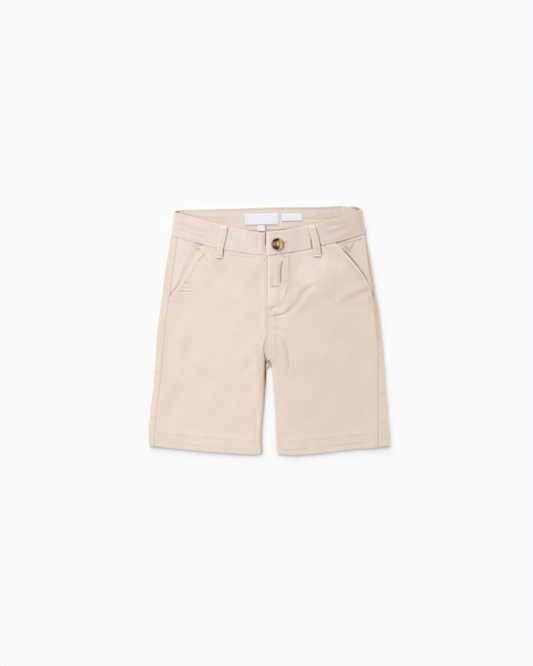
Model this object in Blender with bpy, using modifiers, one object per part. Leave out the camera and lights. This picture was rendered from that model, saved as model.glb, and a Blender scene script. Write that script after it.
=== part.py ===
"""Boys' bermuda shorts in cotton twill, laid flat on their back with the fly closed.

X runs from the wearer's right side (-X) to the left, Y from the hems up to the waist, and Z up from the
surface that the shorts lie on. The origin is under the middle of the garment. Sizes are in millimetres
until a mesh is made. Each piece of cloth is an open sheet of its outer face, given its wall by Solidify.
The two back panels wrap round the sides onto the front, so each has a J-shaped section.
"""

import math
from collections import namedtuple

import bpy
import numpy as np

MM = 0.001

# ------------------------------------------------------------------ driving sizes
CLOTH = 1.0  # wall of one layer of twill
HEM_WALL = 2.0  # the same with the turned-up hem inside it
HEM_DEPTH = 20.0
SEAM_GAP = 0.3  # between two pieces that are sewn together

MIDDLE_HEIGHT = 3.7  # top of the front over the middle of a leg
WAIST_RISE = 0.3  # extra height of the front under the waistband,
HEM_RISE = 1.2  # over the hems,
FLY_RISE = 0.6  # along the fly
POCKET_RISE = 0.5  # and over the pocket bags
FOLD_RADIUS = 2.5  # of the side folds
HEM_RADIUS = 2.9  # of the side folds at the hem
SIDE_SPRING = 24.0  # how far in from a side fold the front stays raised

INSEAM_ROLL = 2.6  # width of the rounded inner edge of a back panel
INSEAM_PARTING = 0.55  # front and back stop this far above and below the inseam,
HEM_PARTING = 0.8  # and this far where the hem doubles their walls
CROTCH_TOP = -46.5  # the inner edges roll over below this Y,
CROTCH_FOOT = -52.0  # and wholly so below this one

FLY_EDGE_X = -3.0  # the wearer's left front laps over the right one up to here
FLY_UNDER_X = 1.5  # where the right front ends, under the lap
FLY_LAP = CLOTH + SEAM_GAP
FLY_FACING_X = 26.0  # outer edge of the fly facing inside the left front
FLY_FACING_RISE = 0.8
FLY_FOOT_Y = 36.0

BAND_WALL = 2.0
BAND_PROUD = 1.0  # how far the band's face stands above the panel below it
BAND_LAP = BAND_WALL + SEAM_GAP  # the button end lies this much above the end under it
BAND_SINK = 0.8  # how much of that lap the lower end gives way
BAND_UNDER_END = 25.0  # X of the lower end
BAND_SIDE_TOP = 172.0  # Y of the band's edges at the side folds
BAND_SIDE_FOOT = 137.0

POCKET_UNDERLAY = 12.0  # hidden part of a pocket facing
POCKET_GAPE = 2.6  # how far the left pocket's edge lifts
RIGHT_POCKET_FOOT = 54.0  # lowest Y of the two pocket facings
LEFT_POCKET_FOOT = 60.0

LOOP_WIDTH = 10.0
LOOP_WALL = 1.6
LOOP_TAIL = 10.0  # how far a belt loop reaches below the waistband
LOOP_SLACK = 0.7
LOOP_CROWN = 0.35

BUTTON_RADIUS = 9.2
BUTTON_X = 11.7
BUTTON_Y = 125.3
BUTTON_SHANK = 0.7  # thread between the band and the button
BUTTON_HOLE_RADIUS = 1.0
BUTTON_HOLE_OUT = 1.7  # of each hole from the middle, along X and along Y
LABEL_WALL = 1.0

TWILL = (0.80, 0.70, 0.59)
TWILL_INSIDE = (0.78, 0.67, 0.56)
BUTTON_BROWN = (0.22, 0.11, 0.05)
LABEL_WHITE = (0.87, 0.86, 0.90)

# ------------------------------------------------------------------ tables
# The two side folds and the side seams, which lie a little way in on the front.
Side = namedtuple("Side", "y right_fold right_seam_in left_fold left_seam_in")
SIDES = (
    Side(172.0, -138.7, 9.8, 134.2, 1.6),
    Side(160.0, -140.0, 9.8, 135.7, 1.6),
    Side(148.0, -141.7, 9.8, 138.0, 1.6),
    Side(137.0, -142.9, 9.6, 140.2, 1.7),
    Side(117.0, -145.8, 9.6, 143.8, 3.2),
    Side(88.0, -151.0, 11.0, 148.4, 3.7),
    Side(58.0, -154.5, 10.8, 153.4, 4.4),
    Side(30.0, -158.5, 10.4, 158.0, 6.4),
    Side(0.0, -162.1, 10.8, 161.3, 6.5),
    Side(-28.0, -164.2, 10.2, 164.3, 7.4),
    Side(-72.0, -167.6, 9.4, 167.4, 10.9),
    Side(-115.0, -172.3, 9.7, 171.0, 14.4),
    Side(-145.0, -174.7, 10.6, 173.4, 16.5),
    Side(-170.0, -174.3, 10.8, 174.6, 17.2),
)

# The inner edges of the legs and how wide the fronts roll over there. Above the crotch these are the
# edges of the two fronts at the fly, and the seat seam between the backs.
Inner = namedtuple("Inner", "y front_right right_roll front_left left_roll back_right back_left")
INNERS = (
    Inner(145.0, 1.5, 2.6, -3.0, 2.6, -0.15, 0.15),
    Inner(40.0, 1.5, 2.6, -3.0, 2.6, -0.15, 0.15),
    Inner(-30.0, 1.5, 2.6, -3.0, 2.6, -0.15, 0.15),
    Inner(-38.0, 1.3, 2.6, -2.8, 2.6, -0.15, 0.15),
    Inner(-41.0, 0.4, 2.8, -1.4, 2.6, -0.15, 0.15),
    Inner(-43.5, -2.2, 3.0, 0.0, 2.6, -0.15, 0.15),
    Inner(-46.5, -5.0, 3.4, 1.7, 2.6, -0.15, 0.15),
    Inner(-50.0, -6.1, 4.0, 2.8, 2.6, 0.1, 0.5),
    Inner(-53.0, -6.4, 4.6, 3.1, 2.6, 0.4, 1.4),
    Inner(-57.5, -6.5, 5.0, 3.5, 2.6, -2.0, 3.0),
    Inner(-61.0, -6.2, 5.2, 3.9, 2.6, -3.6, 3.7),
    Inner(-72.0, -5.9, 5.4, 4.9, 2.6, -4.9, 4.9),
    Inner(-86.0, -6.6, 5.2, 6.0, 2.6, -6.2, 6.0),
    Inner(-101.0, -7.6, 4.8, 6.9, 2.6, -7.6, 6.9),
    Inner(-130.0, -10.1, 4.2, 8.6, 2.6, -10.1, 8.6),
    Inner(-158.0, -11.9, 3.8, 9.2, 2.6, -11.9, 9.2),
    Inner(-178.0, -10.4, 3.6, 10.4, 2.6, -10.4, 10.4),
)

# The bottom edges of the two legs.
Edge = namedtuple("Edge", "x y")
RIGHT_HEM = (
    Edge(-174.5, -166.8),
    Edge(-150.0, -169.8),
    Edge(-104.0, -174.4),
    Edge(-58.0, -178.6),
    Edge(-34.0, -180.2),
    Edge(-21.0, -179.8),
    Edge(-10.5, -175.4),
)
LEFT_HEM = (
    Edge(10.0, -177.8),
    Edge(22.0, -180.3),
    Edge(45.0, -180.5),
    Edge(69.0, -178.3),
    Edge(115.0, -173.4),
    Edge(161.0, -168.6),
    Edge(174.5, -166.4),
)
BACK_SHORTER = 0.4  # the back's hem edge lies this far above the front's

# The waistband's two edges over the front, one table for each half, and over the back.
Band = namedtuple("Band", "x top bottom")
BAND_RIGHT = (
    Band(-143.0, 171.8, 137.0),
    Band(-130.0, 169.4, 133.3),
    Band(-101.0, 160.9, 125.3),
    Band(-72.0, 153.6, 117.6),
    Band(-43.0, 147.0, 113.0),
    Band(-8.0, 141.4, 108.9),
    Band(8.0, 142.9, 110.4),
    Band(30.0, 145.4, 114.6),
)
BAND_LEFT = (
    Band(-4.0, 141.8, 108.0),
    Band(22.0, 145.2, 112.0),
    Band(56.0, 151.5, 117.4),
    Band(87.0, 158.7, 125.2),
    Band(109.0, 165.9, 130.6),
    Band(124.0, 171.2, 134.9),
    Band(141.0, 175.0, 140.6),
)
BAND_BACK = (
    Band(-143.0, 172.2, 137.2),
    Band(-130.0, 174.6, 140.9),
    Band(-107.0, 175.4, 142.4),
    Band(-60.0, 176.6, 143.6),
    Band(-14.0, 178.2, 145.2),
    Band(32.0, 179.1, 146.1),
    Band(79.0, 179.5, 146.4),
    Band(113.0, 180.6, 146.5),
    Band(125.0, 179.4, 144.6),
    Band(141.0, 174.6, 141.0),
)

# The slanting pocket mouths, X over Y: the right one lies flat, and the left one gapes.
Mouth = namedtuple("Mouth", "y right left")
MOUTHS = (
    Mouth(126.0, -94.2, 95.8),
    Mouth(105.0, -106.6, 115.4),
    Mouth(84.0, -119.3, 132.4),
    Mouth(64.0, -131.0, 143.8),
    Mouth(50.0, -144.4, 149.0),
)

# Soft folds across the front, each a straight run with its full width and height in the middle.
Fold = namedtuple("Fold", "x0 y0 x1 y1 width height")
FOLDS = (
    Fold(20.0, 30.0, 92.0, 88.0, 20.0, 1.0),
    Fold(14.0, 8.0, 84.0, 44.0, 16.0, -0.6),
    Fold(96.0, 44.0, 148.0, 66.0, 13.0, 0.8),
    Fold(13.0, -2.0, 27.0, -48.0, 10.0, 0.8),
    Fold(-16.0, 10.0, -60.0, 62.0, 20.0, 0.6),
    Fold(-14.0, -30.0, -50.0, -74.0, 14.0, -0.5),
    Fold(-15.0, -34.0, -17.0, -130.0, 16.0, 0.9),
    Fold(30.0, -66.0, 62.0, -130.0, 18.0, 0.6),
    Fold(118.0, 6.0, 140.0, -84.0, 20.0, -0.5),
    Fold(-122.0, 20.0, -138.0, -96.0, 20.0, 0.5),
    Fold(-90.0, 110.0, -62.0, 84.0, 12.0, 0.5),
)

# Elastic gathers on the inside of the back band.
GATHER_FIRST_X = 72.0
GATHER_PITCH = 4.6
GATHER_COUNT = 8
GATHER_HEIGHT = 0.45
GATHER_FOOT = 0.5  # they have faded out this share of the way down the band

Loop = namedtuple("Loop", "top_x foot_x")
RIGHT_LOOP = Loop(-65.2, -72.0)
LEFT_LOOP = Loop(61.6, 69.0)

Label = namedtuple("Label", "x y width depth tilt")
MAIN_LABEL = Label(-12.3, 161.2, 48.5, 17.0, 1.2)
SIZE_LABEL = Label(-12.3, 147.9, 11.0, 8.4, 1.2)
CARE_LABEL = Label(32.0, 163.6, 29.5, 10.2, 0.8)

# Half of a turned button from the middle of its face, over the rim, to the middle of its back.
Turned = namedtuple("Turned", "radius height")
BUTTON_PROFILE = (
    Turned(0.0, 1.7),
    Turned(4.6, 1.8),
    Turned(6.0, 2.4),
    Turned(7.2, 3.0),
    Turned(8.2, 3.1),
    Turned(8.9, 2.7),
    Turned(9.2, 2.0),
    Turned(8.8, 1.1),
    Turned(7.2, 0.3),
    Turned(5.0, 0.0),
    Turned(0.0, 0.0),
)

# ------------------------------------------------------------------ grids
MIDDLE_OF_LEG = 90.0  # the X that the search for a panel's points starts from
PASSES = 24  # of that search
HEM_Y = -176.0
FRONT_ROWS = 27
FRONT_COLUMNS = 16
BACK_ROWS = 19
BACK_COLUMNS = 7
WRAP_COLUMNS = 11
ROLL_STEPS = 4
FRONT_CROTCH = np.linspace(-41.0, -60.0, 6)  # Y of extra rows where the legs part
BACK_CROTCH = np.linspace(-49.0, -62.0, 5)
HEM_FOLD = (-154.4, -156.6)  # and over the hem's upper edge
FACING_ROWS = 11
FACING_COLUMNS = 12
BAND_ROWS = 5
BAND_FRONT_COLUMNS = 19
BAND_TURN_COLUMNS = 9


# ------------------------------------------------------------------ curves and heights
def through(table, key, value):
    """A smooth curve through one column of a table over another, straight past its ends."""
    rows = sorted(table, key=lambda row: getattr(row, key))
    at = np.array([getattr(row, key) for row in rows])
    held = np.array([getattr(row, value) for row in rows])
    slope = np.gradient(held, at)

    def curve(where):
        where = np.asarray(where, float)
        inside = np.clip(where, at[0], at[-1])
        i = np.clip(np.searchsorted(at, inside) - 1, 0, len(at) - 2)
        span = at[i + 1] - at[i]
        t = (inside - at[i]) / span
        start = held[i] * (1 + 2 * t) * (1 - t) ** 2 + slope[i] * span * t * (1 - t) ** 2
        end = held[i + 1] * t**2 * (3 - 2 * t) - slope[i + 1] * span * t**2 * (1 - t)
        past = np.where(where < at[0], slope[0], slope[-1]) * (where - inside)
        return start + end + past

    return curve


def ramp(value, start, end):
    """0 before start and 1 after end, with a soft S between them."""
    t = np.clip((np.asarray(value, float) - start) / (end - start), 0, 1)
    return t * t * (3 - 2 * t)


right_fold = through(SIDES, "y", "right_fold")
left_fold = through(SIDES, "y", "left_fold")
right_seam_in = through(SIDES, "y", "right_seam_in")
left_seam_in = through(SIDES, "y", "left_seam_in")
right_hem = through(RIGHT_HEM, "x", "y")
left_hem = through(LEFT_HEM, "x", "y")
right_mouth = through(MOUTHS, "y", "right")
left_mouth = through(MOUTHS, "y", "left")
right_waist = through(BAND_RIGHT, "x", "bottom")
left_waist = through(BAND_LEFT, "x", "bottom")
back_waist = through(BAND_BACK, "x", "bottom")


def right_seam(y):
    return right_fold(y) + right_seam_in(y)


def left_seam(y):
    return left_fold(y) - left_seam_in(y)


def above_hem(x, y):
    """How far a point lies above the bottom edge of its leg."""
    return y - np.where(x < 0, right_hem(np.minimum(x, 0)), left_hem(np.maximum(x, 0)))


def fold_radius(y):
    hem = 1 - ramp(y, HEM_Y + HEM_DEPTH + 8, HEM_Y + 2 * HEM_DEPTH + 8)
    return FOLD_RADIUS + (HEM_RADIUS - FOLD_RADIUS) * hem


def inward(x, y):
    """How far a point lies in from the nearer side fold."""
    return np.minimum(x - right_fold(y), left_fold(y) - x)


def soft_folds(x, y):
    total = np.zeros(np.broadcast(x, y).shape)
    for fold in FOLDS:
        along = np.array([fold.x1 - fold.x0, fold.y1 - fold.y0])
        length = math.hypot(*along)
        along = along / length
        run = (x - fold.x0) * along[0] + (y - fold.y0) * along[1]
        off = (y - fold.y0) * along[0] - (x - fold.x0) * along[1]
        ends = ramp(run, 0, length / 3) * (1 - ramp(run, length * 2 / 3, length))
        total = total + fold.height * ends * np.exp(-((off / fold.width * 2) ** 2))
    return total


def front_height(x, y):
    """The height of the front's outer face, without laps, rolled inner edges or a gaping pocket."""
    radius = fold_radius(y)
    into = inward(x, y)
    hem = 1 - ramp(above_hem(x, y), HEM_DEPTH, HEM_DEPTH + 8)
    middle = MIDDLE_HEIGHT + WAIST_RISE * ramp(y, 60, 130) + HEM_RISE * hem
    spring = np.exp(-((np.maximum(into - radius, 0) / SIDE_SPRING) ** 2))
    flat = middle + (2 * radius - middle) * spring
    fly = ramp(y, FLY_FOOT_Y - 16, FLY_FOOT_Y + 16) * (1 - ramp(np.abs(x), 16, 44))
    pocket = ramp(y, 20, 60) * ramp(np.abs(x), 60, 96)
    clear = ramp(into, radius, 14)
    flat = flat + clear * (FLY_RISE * fly + POCKET_RISE * pocket + soft_folds(x, y))
    over = np.clip(radius - into, 0, radius)
    rounded = radius + np.sqrt(radius**2 - over**2)
    return np.where(into < radius, rounded, flat)


def roll_share(distance, width, y):
    """How far round a rolled inner edge a point is, as its share of the drop, from 0 to 1 at the edge."""
    near = np.clip(1 - distance / width, 0, 1)
    return (1 - np.sqrt(1 - near**2)) * (1 - ramp(y, CROTCH_FOOT, CROTCH_TOP))


def inseam_level(y):
    """The height of an inseam, and how far the front and the back stop short of it."""
    hem = 1 - ramp(y, HEM_Y + HEM_DEPTH - 2, HEM_Y + HEM_DEPTH + 6)
    return (MIDDLE_HEIGHT + HEM_RISE * hem) / 2, INSEAM_PARTING + (HEM_PARTING - INSEAM_PARTING) * hem


# ------------------------------------------------------------------ making meshes
def collection_named(name):
    made = bpy.data.collections.new(name)
    bpy.context.scene.collection.children.link(made)
    return made


def finish(name, colour, roughness):
    material = bpy.data.materials.new(name)
    material.use_nodes = True
    shader = material.node_tree.nodes["Principled BSDF"]
    shader.inputs["Base Color"].default_value = (*colour, 1)
    shader.inputs["Roughness"].default_value = roughness
    shader.inputs["Metallic"].default_value = 0
    material.diffuse_color = (*colour, 1)
    return material


def sheet(name, points, material, wall, thickness=None):
    """A cloth piece: a grid of its outer face's points, with a wall behind it.

    points is the grid's x, y and z. Its rows run down the piece and its columns to the wearer's left,
    seen from outside. thickness holds each point's share of the wall, where the wall varies.
    """
    grid = np.stack(points, axis=-1)
    rows, columns, _ = grid.shape
    faces = [
        (r * columns + c, (r + 1) * columns + c, (r + 1) * columns + c + 1, r * columns + c + 1)
        for r in range(rows - 1)
        for c in range(columns - 1)
    ]
    mesh = bpy.data.meshes.new(name)
    mesh.from_pydata((grid.reshape(-1, 3) * MM).tolist(), [], faces)
    mesh.materials.append(material)
    mesh.shade_smooth()
    piece = bpy.data.objects.new(name, mesh)
    SHORTS.objects.link(piece)
    wall_maker = piece.modifiers.new("wall", "SOLIDIFY")
    wall_maker.thickness = wall * MM
    wall_maker.offset = -1
    wall_maker.use_even_offset = True
    wall_maker.use_quality_normals = True
    if thickness is not None:
        group = piece.vertex_groups.new(name="wall")
        for index, share in enumerate(thickness.reshape(-1)):
            group.add([index], float(share), "REPLACE")
        wall_maker.vertex_group = group.name


def panel_rows(count, top, crotch):
    """Shares of the way down a panel: even, with more rows where the legs part and at the hem's fold."""
    even = np.linspace(0, 1, count)
    extra = (top - np.concatenate([crotch, HEM_FOLD])) / (top - HEM_Y)
    near = np.abs(even[:, None] - extra[None, :]).min(axis=1)
    keep = even[(near > 0.01) | (even == 0) | (even == 1)]
    return np.sort(np.concatenate([keep, extra]))


def hemmed(x, y):
    """Each point's share of the full wall: one layer, and two below the hem's fold."""
    single = CLOTH / HEM_WALL
    return single + (1 - single) * (1 - ramp(above_hem(x, y), HEM_DEPTH - 2.4, HEM_DEPTH))


def left_to_right(toward, *grids):
    """The grids with their columns turned round, for a panel that was worked out from its left side."""
    return grids if toward > 0 else tuple(grid[:, ::-1] for grid in grids)


# ------------------------------------------------------------------ front panels
def front_panel(name, side, inner, roll, top, hem, toward, raised, material):
    """toward is +1 where the inner edge is on the panel's +X side, and -1 on the mirror panel.

    side, inner, roll, top and hem are the panel's edges, and raised is what lifts it off the others.
    """
    shares = np.linspace(0, 1, FRONT_COLUMNS)
    turned = np.linspace(0, math.pi / 2, ROLL_STEPS + 1)[1:]
    rows = panel_rows(FRONT_ROWS, 108.0, FRONT_CROTCH)
    v = np.tile(rows[:, None], (1, FRONT_COLUMNS + ROLL_STEPS))
    x = np.full(v.shape, -toward * MIDDLE_OF_LEG)
    for _ in range(PASSES):
        y = top(x) * (1 - v) + hem(x) * v
        main, rolled = np.split(y, [FRONT_COLUMNS], axis=1)
        begin = inner(main) - toward * roll(main)
        across = side(main) * (1 - shares) + begin * shares
        over = inner(rolled) - toward * roll(rolled) * (1 - np.sin(turned))
        x = np.concatenate([across, over], axis=1)
    level, parting = inseam_level(y)
    high = front_height(x, y)
    z = high - (high - level - parting) * roll_share(np.abs(inner(y) - x), roll(y), y) + raised(x, y)
    x, y, z, thickness = left_to_right(toward, x, y, z, hemmed(x, y))
    sheet(name, (x, y, z), material, HEM_WALL, thickness)


def fly_lap_and_gape(x, y):
    """The left front lies over the right one and over its own fly facing, and its pocket's edge lifts."""
    lap = 1 - ramp(x, FLY_UNDER_X + 0.5, FLY_UNDER_X + 12)
    facing = (1 - ramp(x, FLY_FACING_X, FLY_FACING_X + 6)) * ramp(y, FLY_FOOT_Y - 8, FLY_FOOT_Y)
    above_crotch = ramp(y, CROTCH_TOP - 1, CROTCH_TOP + 3)
    fly = above_crotch * np.maximum(FLY_LAP * lap, FLY_FACING_RISE * facing)
    off = np.maximum(left_mouth(y) - x, 0)
    along = ramp(y, 52, 84) * (1 - ramp(y, 100, 124))
    return fly + POCKET_GAPE * along * np.exp(-((off / 11) ** 2))


def make_fronts(material):
    front_panel(
        "front_right",
        lambda y: np.maximum(right_seam(y) + SEAM_GAP, right_mouth(y)),
        through(INNERS, "y", "front_right"),
        through(INNERS, "y", "right_roll"),
        lambda x: right_waist(x) - SEAM_GAP,
        right_hem,
        1,
        lambda x, y: 0 * x,
        material,
    )
    front_panel(
        "front_left",
        lambda y: np.minimum(left_seam(y) - SEAM_GAP, left_mouth(y)),
        through(INNERS, "y", "front_left"),
        through(INNERS, "y", "left_roll"),
        lambda x: left_waist(x) - SEAM_GAP,
        left_hem,
        -1,
        fly_lap_and_gape,
        material,
    )


# ------------------------------------------------------------------ pocket facings
def pocket_facing(name, seam, mouth, top, foot, toward, material):
    """The hip piece behind a pocket's mouth, from the side seam to a little way under the front."""
    clear = SEAM_GAP + 0.1
    u, v = np.meshgrid(np.linspace(0, 1, FACING_COLUMNS) ** 1.7, np.linspace(0, 1, FACING_ROWS))
    x = np.full(u.shape, -toward * MIDDLE_OF_LEG)
    for _ in range(PASSES):
        y = (top(x) - SEAM_GAP) * (1 - v) + foot * v
        x = (seam(y) + toward * clear) * (1 - u) + (mouth(y) + toward * POCKET_UNDERLAY) * u
    reach = (x - seam(y)) / (mouth(y) - seam(y))
    z = front_height(x, y) - (CLOTH + clear) * ramp(reach, 0.12, 0.9)
    sheet(name, left_to_right(toward, x, y, z), material, CLOTH)


def make_facings(material):
    pocket_facing("pocket_facing_right", right_seam, right_mouth, right_waist, RIGHT_POCKET_FOOT, 1, material)
    pocket_facing("pocket_facing_left", left_seam, left_mouth, left_waist, LEFT_POCKET_FOOT, -1, material)


# ------------------------------------------------------------------ back panels
def side_wrap(fold, seam_in, y, shares, toward):
    """Points from under a side fold, round its arc and on over the front to the side seam.

    It gives their x, and the angle round the arc, from -90 degrees below to 90 above.
    """
    bow = fold_radius(y)
    inset = seam_in(y)
    stop = np.where(inset < bow, np.arccos(np.clip(1 - inset / bow, -1, 1)), math.pi / 2)
    arc = bow * (math.pi / 2 + stop)
    run = shares[None, :] * (arc + np.maximum(inset - bow, 0))
    angle = np.minimum(run, arc) / bow - math.pi / 2
    depth = bow * (1 - np.cos(angle)) + np.maximum(run - arc, 0)
    return fold(y) + toward * depth, angle


def back_panel(name, fold, seam_in, inner, waist, hem, toward, material):
    """Flat under the leg, round the side fold and on to the side seam on top."""
    turned = np.linspace(math.pi / 2, 0, ROLL_STEPS + 1)[:-1]
    inner_share = np.linspace(1, 0, BACK_COLUMNS)
    wrap = np.linspace(0, 1, WRAP_COLUMNS)[1:]
    rows = panel_rows(BACK_ROWS, 145.0, BACK_CROTCH)
    v = np.tile(rows[:, None], (1, ROLL_STEPS + BACK_COLUMNS + len(wrap)))
    x = np.full(v.shape, -toward * MIDDLE_OF_LEG)
    on_top = np.zeros(v.shape)
    for _ in range(PASSES):
        upper = back_waist(x) * (1 - on_top) + waist(x) * on_top - SEAM_GAP
        y = upper * (1 - v) + (hem(x) + BACK_SHORTER) * v
        rolled, under, wrapped = np.split(y, [ROLL_STEPS, ROLL_STEPS + BACK_COLUMNS], axis=1)
        x_rolled = inner(rolled) - toward * INSEAM_ROLL * (1 - np.sin(turned))
        begin = inner(under) - toward * INSEAM_ROLL
        bend = fold(under) + toward * fold_radius(under)
        x_under = begin * inner_share + bend * (1 - inner_share)
        x_over, angle = side_wrap(fold, seam_in, wrapped, wrap, toward)
        x = np.concatenate([x_rolled, x_under, x_over], axis=1)
        on_top = np.concatenate([0 * x_rolled, 0 * x_under, (1 + np.sin(angle)) / 2], axis=1)
    level, parting = inseam_level(rolled)
    z_rolled = (level - parting) * roll_share(np.abs(inner(rolled) - x_rolled), INSEAM_ROLL, rolled)
    bow = fold_radius(wrapped)
    z_over = np.where(angle < 0, bow * (1 + np.sin(angle)), front_height(x_over, wrapped))
    z = np.concatenate([z_rolled, 0 * x_under, z_over], axis=1)
    x, y, z, thickness = left_to_right(toward, x, y, z, hemmed(x, y))
    sheet(name, (x, y, z), material, HEM_WALL, thickness)


def make_backs(material):
    right_inner = through(INNERS, "y", "back_right")
    left_inner = through(INNERS, "y", "back_left")
    back_panel("back_right", right_fold, right_seam_in, right_inner, right_waist, right_hem, 1, material)
    back_panel("back_left", left_fold, left_seam_in, left_inner, left_waist, left_hem, -1, material)


# ------------------------------------------------------------------ waistband
def right_band_height(x, y):
    """The band's face over the right front. Past the fly its end sinks under the other one."""
    return front_height(x, y) + BAND_PROUD - BAND_SINK * ramp(x, -28, -6)


def left_band_height(x, y):
    """The band's face over the left front, lying over the other end round the button."""
    lap = 1 - ramp(x, BAND_UNDER_END + 1, BAND_UNDER_END + 20)
    return front_height(x, y) + BAND_PROUD + (BAND_LAP - BAND_SINK) * lap


def band_edges(table, x, level):
    """Y at a share of the way down the band."""
    return through(table, "x", "top")(x) * (1 - level) + through(table, "x", "bottom")(x) * level


def band_turn(fold, toward, table, height, level):
    """The band where it turns round a side fold, from the front (first column) to the back."""
    angle = np.linspace(math.pi / 2, -math.pi / 2, BAND_TURN_COLUMNS + 2)[1:-1]
    bow = height / 2
    x = fold + toward * bow * (1 - np.cos(angle))
    high = (1 + np.sin(angle)) / 2
    y = band_edges(table, x, level) * high + band_edges(BAND_BACK, x, level) * (1 - high)
    return x, y, bow * (1 + np.sin(angle))


def make_band(material):
    """One strip from its lower end, over the right front, round the back and over the left front."""
    level = np.linspace(0, 1, BAND_ROWS)[:, None]
    side_y = BAND_SIDE_TOP * (1 - level) + BAND_SIDE_FOOT * level
    right, left = right_fold(side_y), left_fold(side_y)
    radius = FOLD_RADIUS + BAND_PROUD / 2
    right_in, left_in = right + radius, left - radius

    along = np.linspace(0, 1, BAND_FRONT_COLUMNS)
    x_right = BAND_UNDER_END * (1 - along) + right_in * along
    y_right = band_edges(BAND_RIGHT, x_right, level)
    z_right = right_band_height(x_right, y_right)
    x_left = left_in * (1 - along) + FLY_EDGE_X * along
    y_left = band_edges(BAND_LEFT, x_left, level)
    z_left = left_band_height(x_left, y_left)

    gathers = GATHER_FIRST_X + GATHER_PITCH * np.linspace(0, GATHER_COUNT, 6 * GATHER_COUNT + 1)
    plain = np.concatenate([np.linspace(0, 0.76, 15), np.linspace(0.93, 1, 4)])
    x_plain = right_in + (left_in - right_in) * plain
    x_back = np.sort(np.concatenate([x_plain, np.tile(gathers, (BAND_ROWS, 1))], axis=1), axis=1)
    back = (x_back, band_edges(BAND_BACK, x_back, level), 0 * x_back)

    right_turn = band_turn(right, 1, BAND_RIGHT, z_right[:, -1:], level)
    left_turn = [part[:, ::-1] for part in band_turn(left, -1, BAND_LEFT, z_left[:, :1], level)]
    runs = ((x_right, y_right, z_right), right_turn, back, left_turn, (x_left, y_left, z_left))
    grid = [np.concatenate(part, axis=1)[:, ::-1] for part in zip(*runs)]

    phase = (x_back - GATHER_FIRST_X) / GATHER_PITCH
    among = (phase > 0) & (phase < GATHER_COUNT)
    fade = 1 - ramp(level, GATHER_FOOT - 0.2, GATHER_FOOT)
    rib = np.where(among, (1 - np.cos(2 * math.pi * phase)) / 2, 0) * fade
    walls = [np.full(run[0].shape, BAND_WALL) for run in runs]
    walls[2] += GATHER_HEIGHT * rib
    thickest = BAND_WALL + GATHER_HEIGHT
    sheet("waistband", grid, material, thickest, np.concatenate(walls, axis=1)[:, ::-1] / thickest)


# ------------------------------------------------------------------ belt loops
def belt_loop(name, loop, table, material):
    """A strip down the face of the band, tacked at its top edge and just below the waist seam."""
    down = np.linspace(0, 1, 15)[:, None]
    across = np.linspace(-0.5, 0.5, 5)[None, :]
    top = through(table, "x", "top")(loop.top_x)
    seam = through(table, "x", "bottom")(loop.foot_x)
    x = loop.top_x * (1 - down) + loop.foot_x * down + across * LOOP_WIDTH
    y = top * (1 - down) + (seam - LOOP_TAIL) * down + 0 * across
    on_band = ramp(y, seam - 6, seam + 1)
    slack = LOOP_SLACK * np.sin(math.pi * np.clip(down * 1.15, 0, 1))
    crown = LOOP_CROWN * (1 - (2 * across) ** 2)
    z = front_height(x, y) + BAND_PROUD * on_band + SEAM_GAP + LOOP_WALL + slack + crown
    sheet(name, (x, y, z), material, LOOP_WALL)


# ------------------------------------------------------------------ button and labels
def drill(number, x, y, z, cutters):
    bpy.ops.mesh.primitive_cylinder_add(
        vertices=12,
        radius=BUTTON_HOLE_RADIUS * MM,
        depth=12 * MM,
        location=(x * MM, y * MM, z * MM),
    )
    cutter = bpy.context.object
    cutter.name = f"button_drill_{number}"
    cutter.hide_render = True
    cutter.display_type = "WIRE"
    for home in cutter.users_collection:
        home.objects.unlink(cutter)
    cutters.objects.link(cutter)
    return cutter


def make_button(material, cutters):
    """A turned four-hole button: a dished middle inside a rounded rim, as a profile and a Screw."""
    widest = max(point.radius for point in BUTTON_PROFILE)
    scale = BUTTON_RADIUS / widest * MM
    points = [(point.radius * scale, 0, point.height * scale) for point in BUTTON_PROFILE]
    mesh = bpy.data.meshes.new("button")
    mesh.from_pydata(points, [(i, i + 1) for i in range(len(points) - 1)], [])
    mesh.materials.append(material)
    button = bpy.data.objects.new("button", mesh)
    SHORTS.objects.link(button)
    turn = button.modifiers.new("turn", "SCREW")
    turn.steps = turn.render_steps = 32
    turn.use_merge_vertices = True
    turn.merge_threshold = 0.00001
    base = float(left_band_height(np.array(BUTTON_X), np.array(BUTTON_Y))) + BUTTON_SHANK
    button.location = (BUTTON_X * MM, BUTTON_Y * MM, base * MM)
    for number, (dx, dy) in enumerate(((-1, -1), (1, -1), (-1, 1), (1, 1))):
        cut = button.modifiers.new(f"hole_{number}", "BOOLEAN")
        cut.operation = "DIFFERENCE"
        cut.object = drill(
            number,
            BUTTON_X + BUTTON_HOLE_OUT * dx,
            BUTTON_Y + BUTTON_HOLE_OUT * dy,
            base,
            cutters,
        )


def label(name, size, material):
    """A plain woven tape sewn to the inside of the back band."""
    u, v = np.meshgrid(np.linspace(-0.5, 0.5, 7), np.linspace(0.5, -0.5, 4))
    tilt = math.radians(size.tilt)
    x = size.x + u * size.width * math.cos(tilt) - v * size.depth * math.sin(tilt)
    y = size.y + u * size.width * math.sin(tilt) + v * size.depth * math.cos(tilt)
    bow = 0.15 * np.sin(math.pi * (u + 0.5))
    sheet(name, (x, y, BAND_WALL + SEAM_GAP + LABEL_WALL + bow), material, LABEL_WALL)


# ------------------------------------------------------------------ assembly
for leftover in list(bpy.data.objects):
    bpy.data.objects.remove(leftover)

SHORTS = collection_named("bermuda_shorts")
CUTTERS = collection_named("cutters")

outer = finish("twill", TWILL, 0.9)
inside = finish("twill_inside", TWILL_INSIDE, 0.9)
tape = finish("label_tape", LABEL_WHITE, 0.6)
horn = finish("button_horn", BUTTON_BROWN, 0.3)

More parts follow.
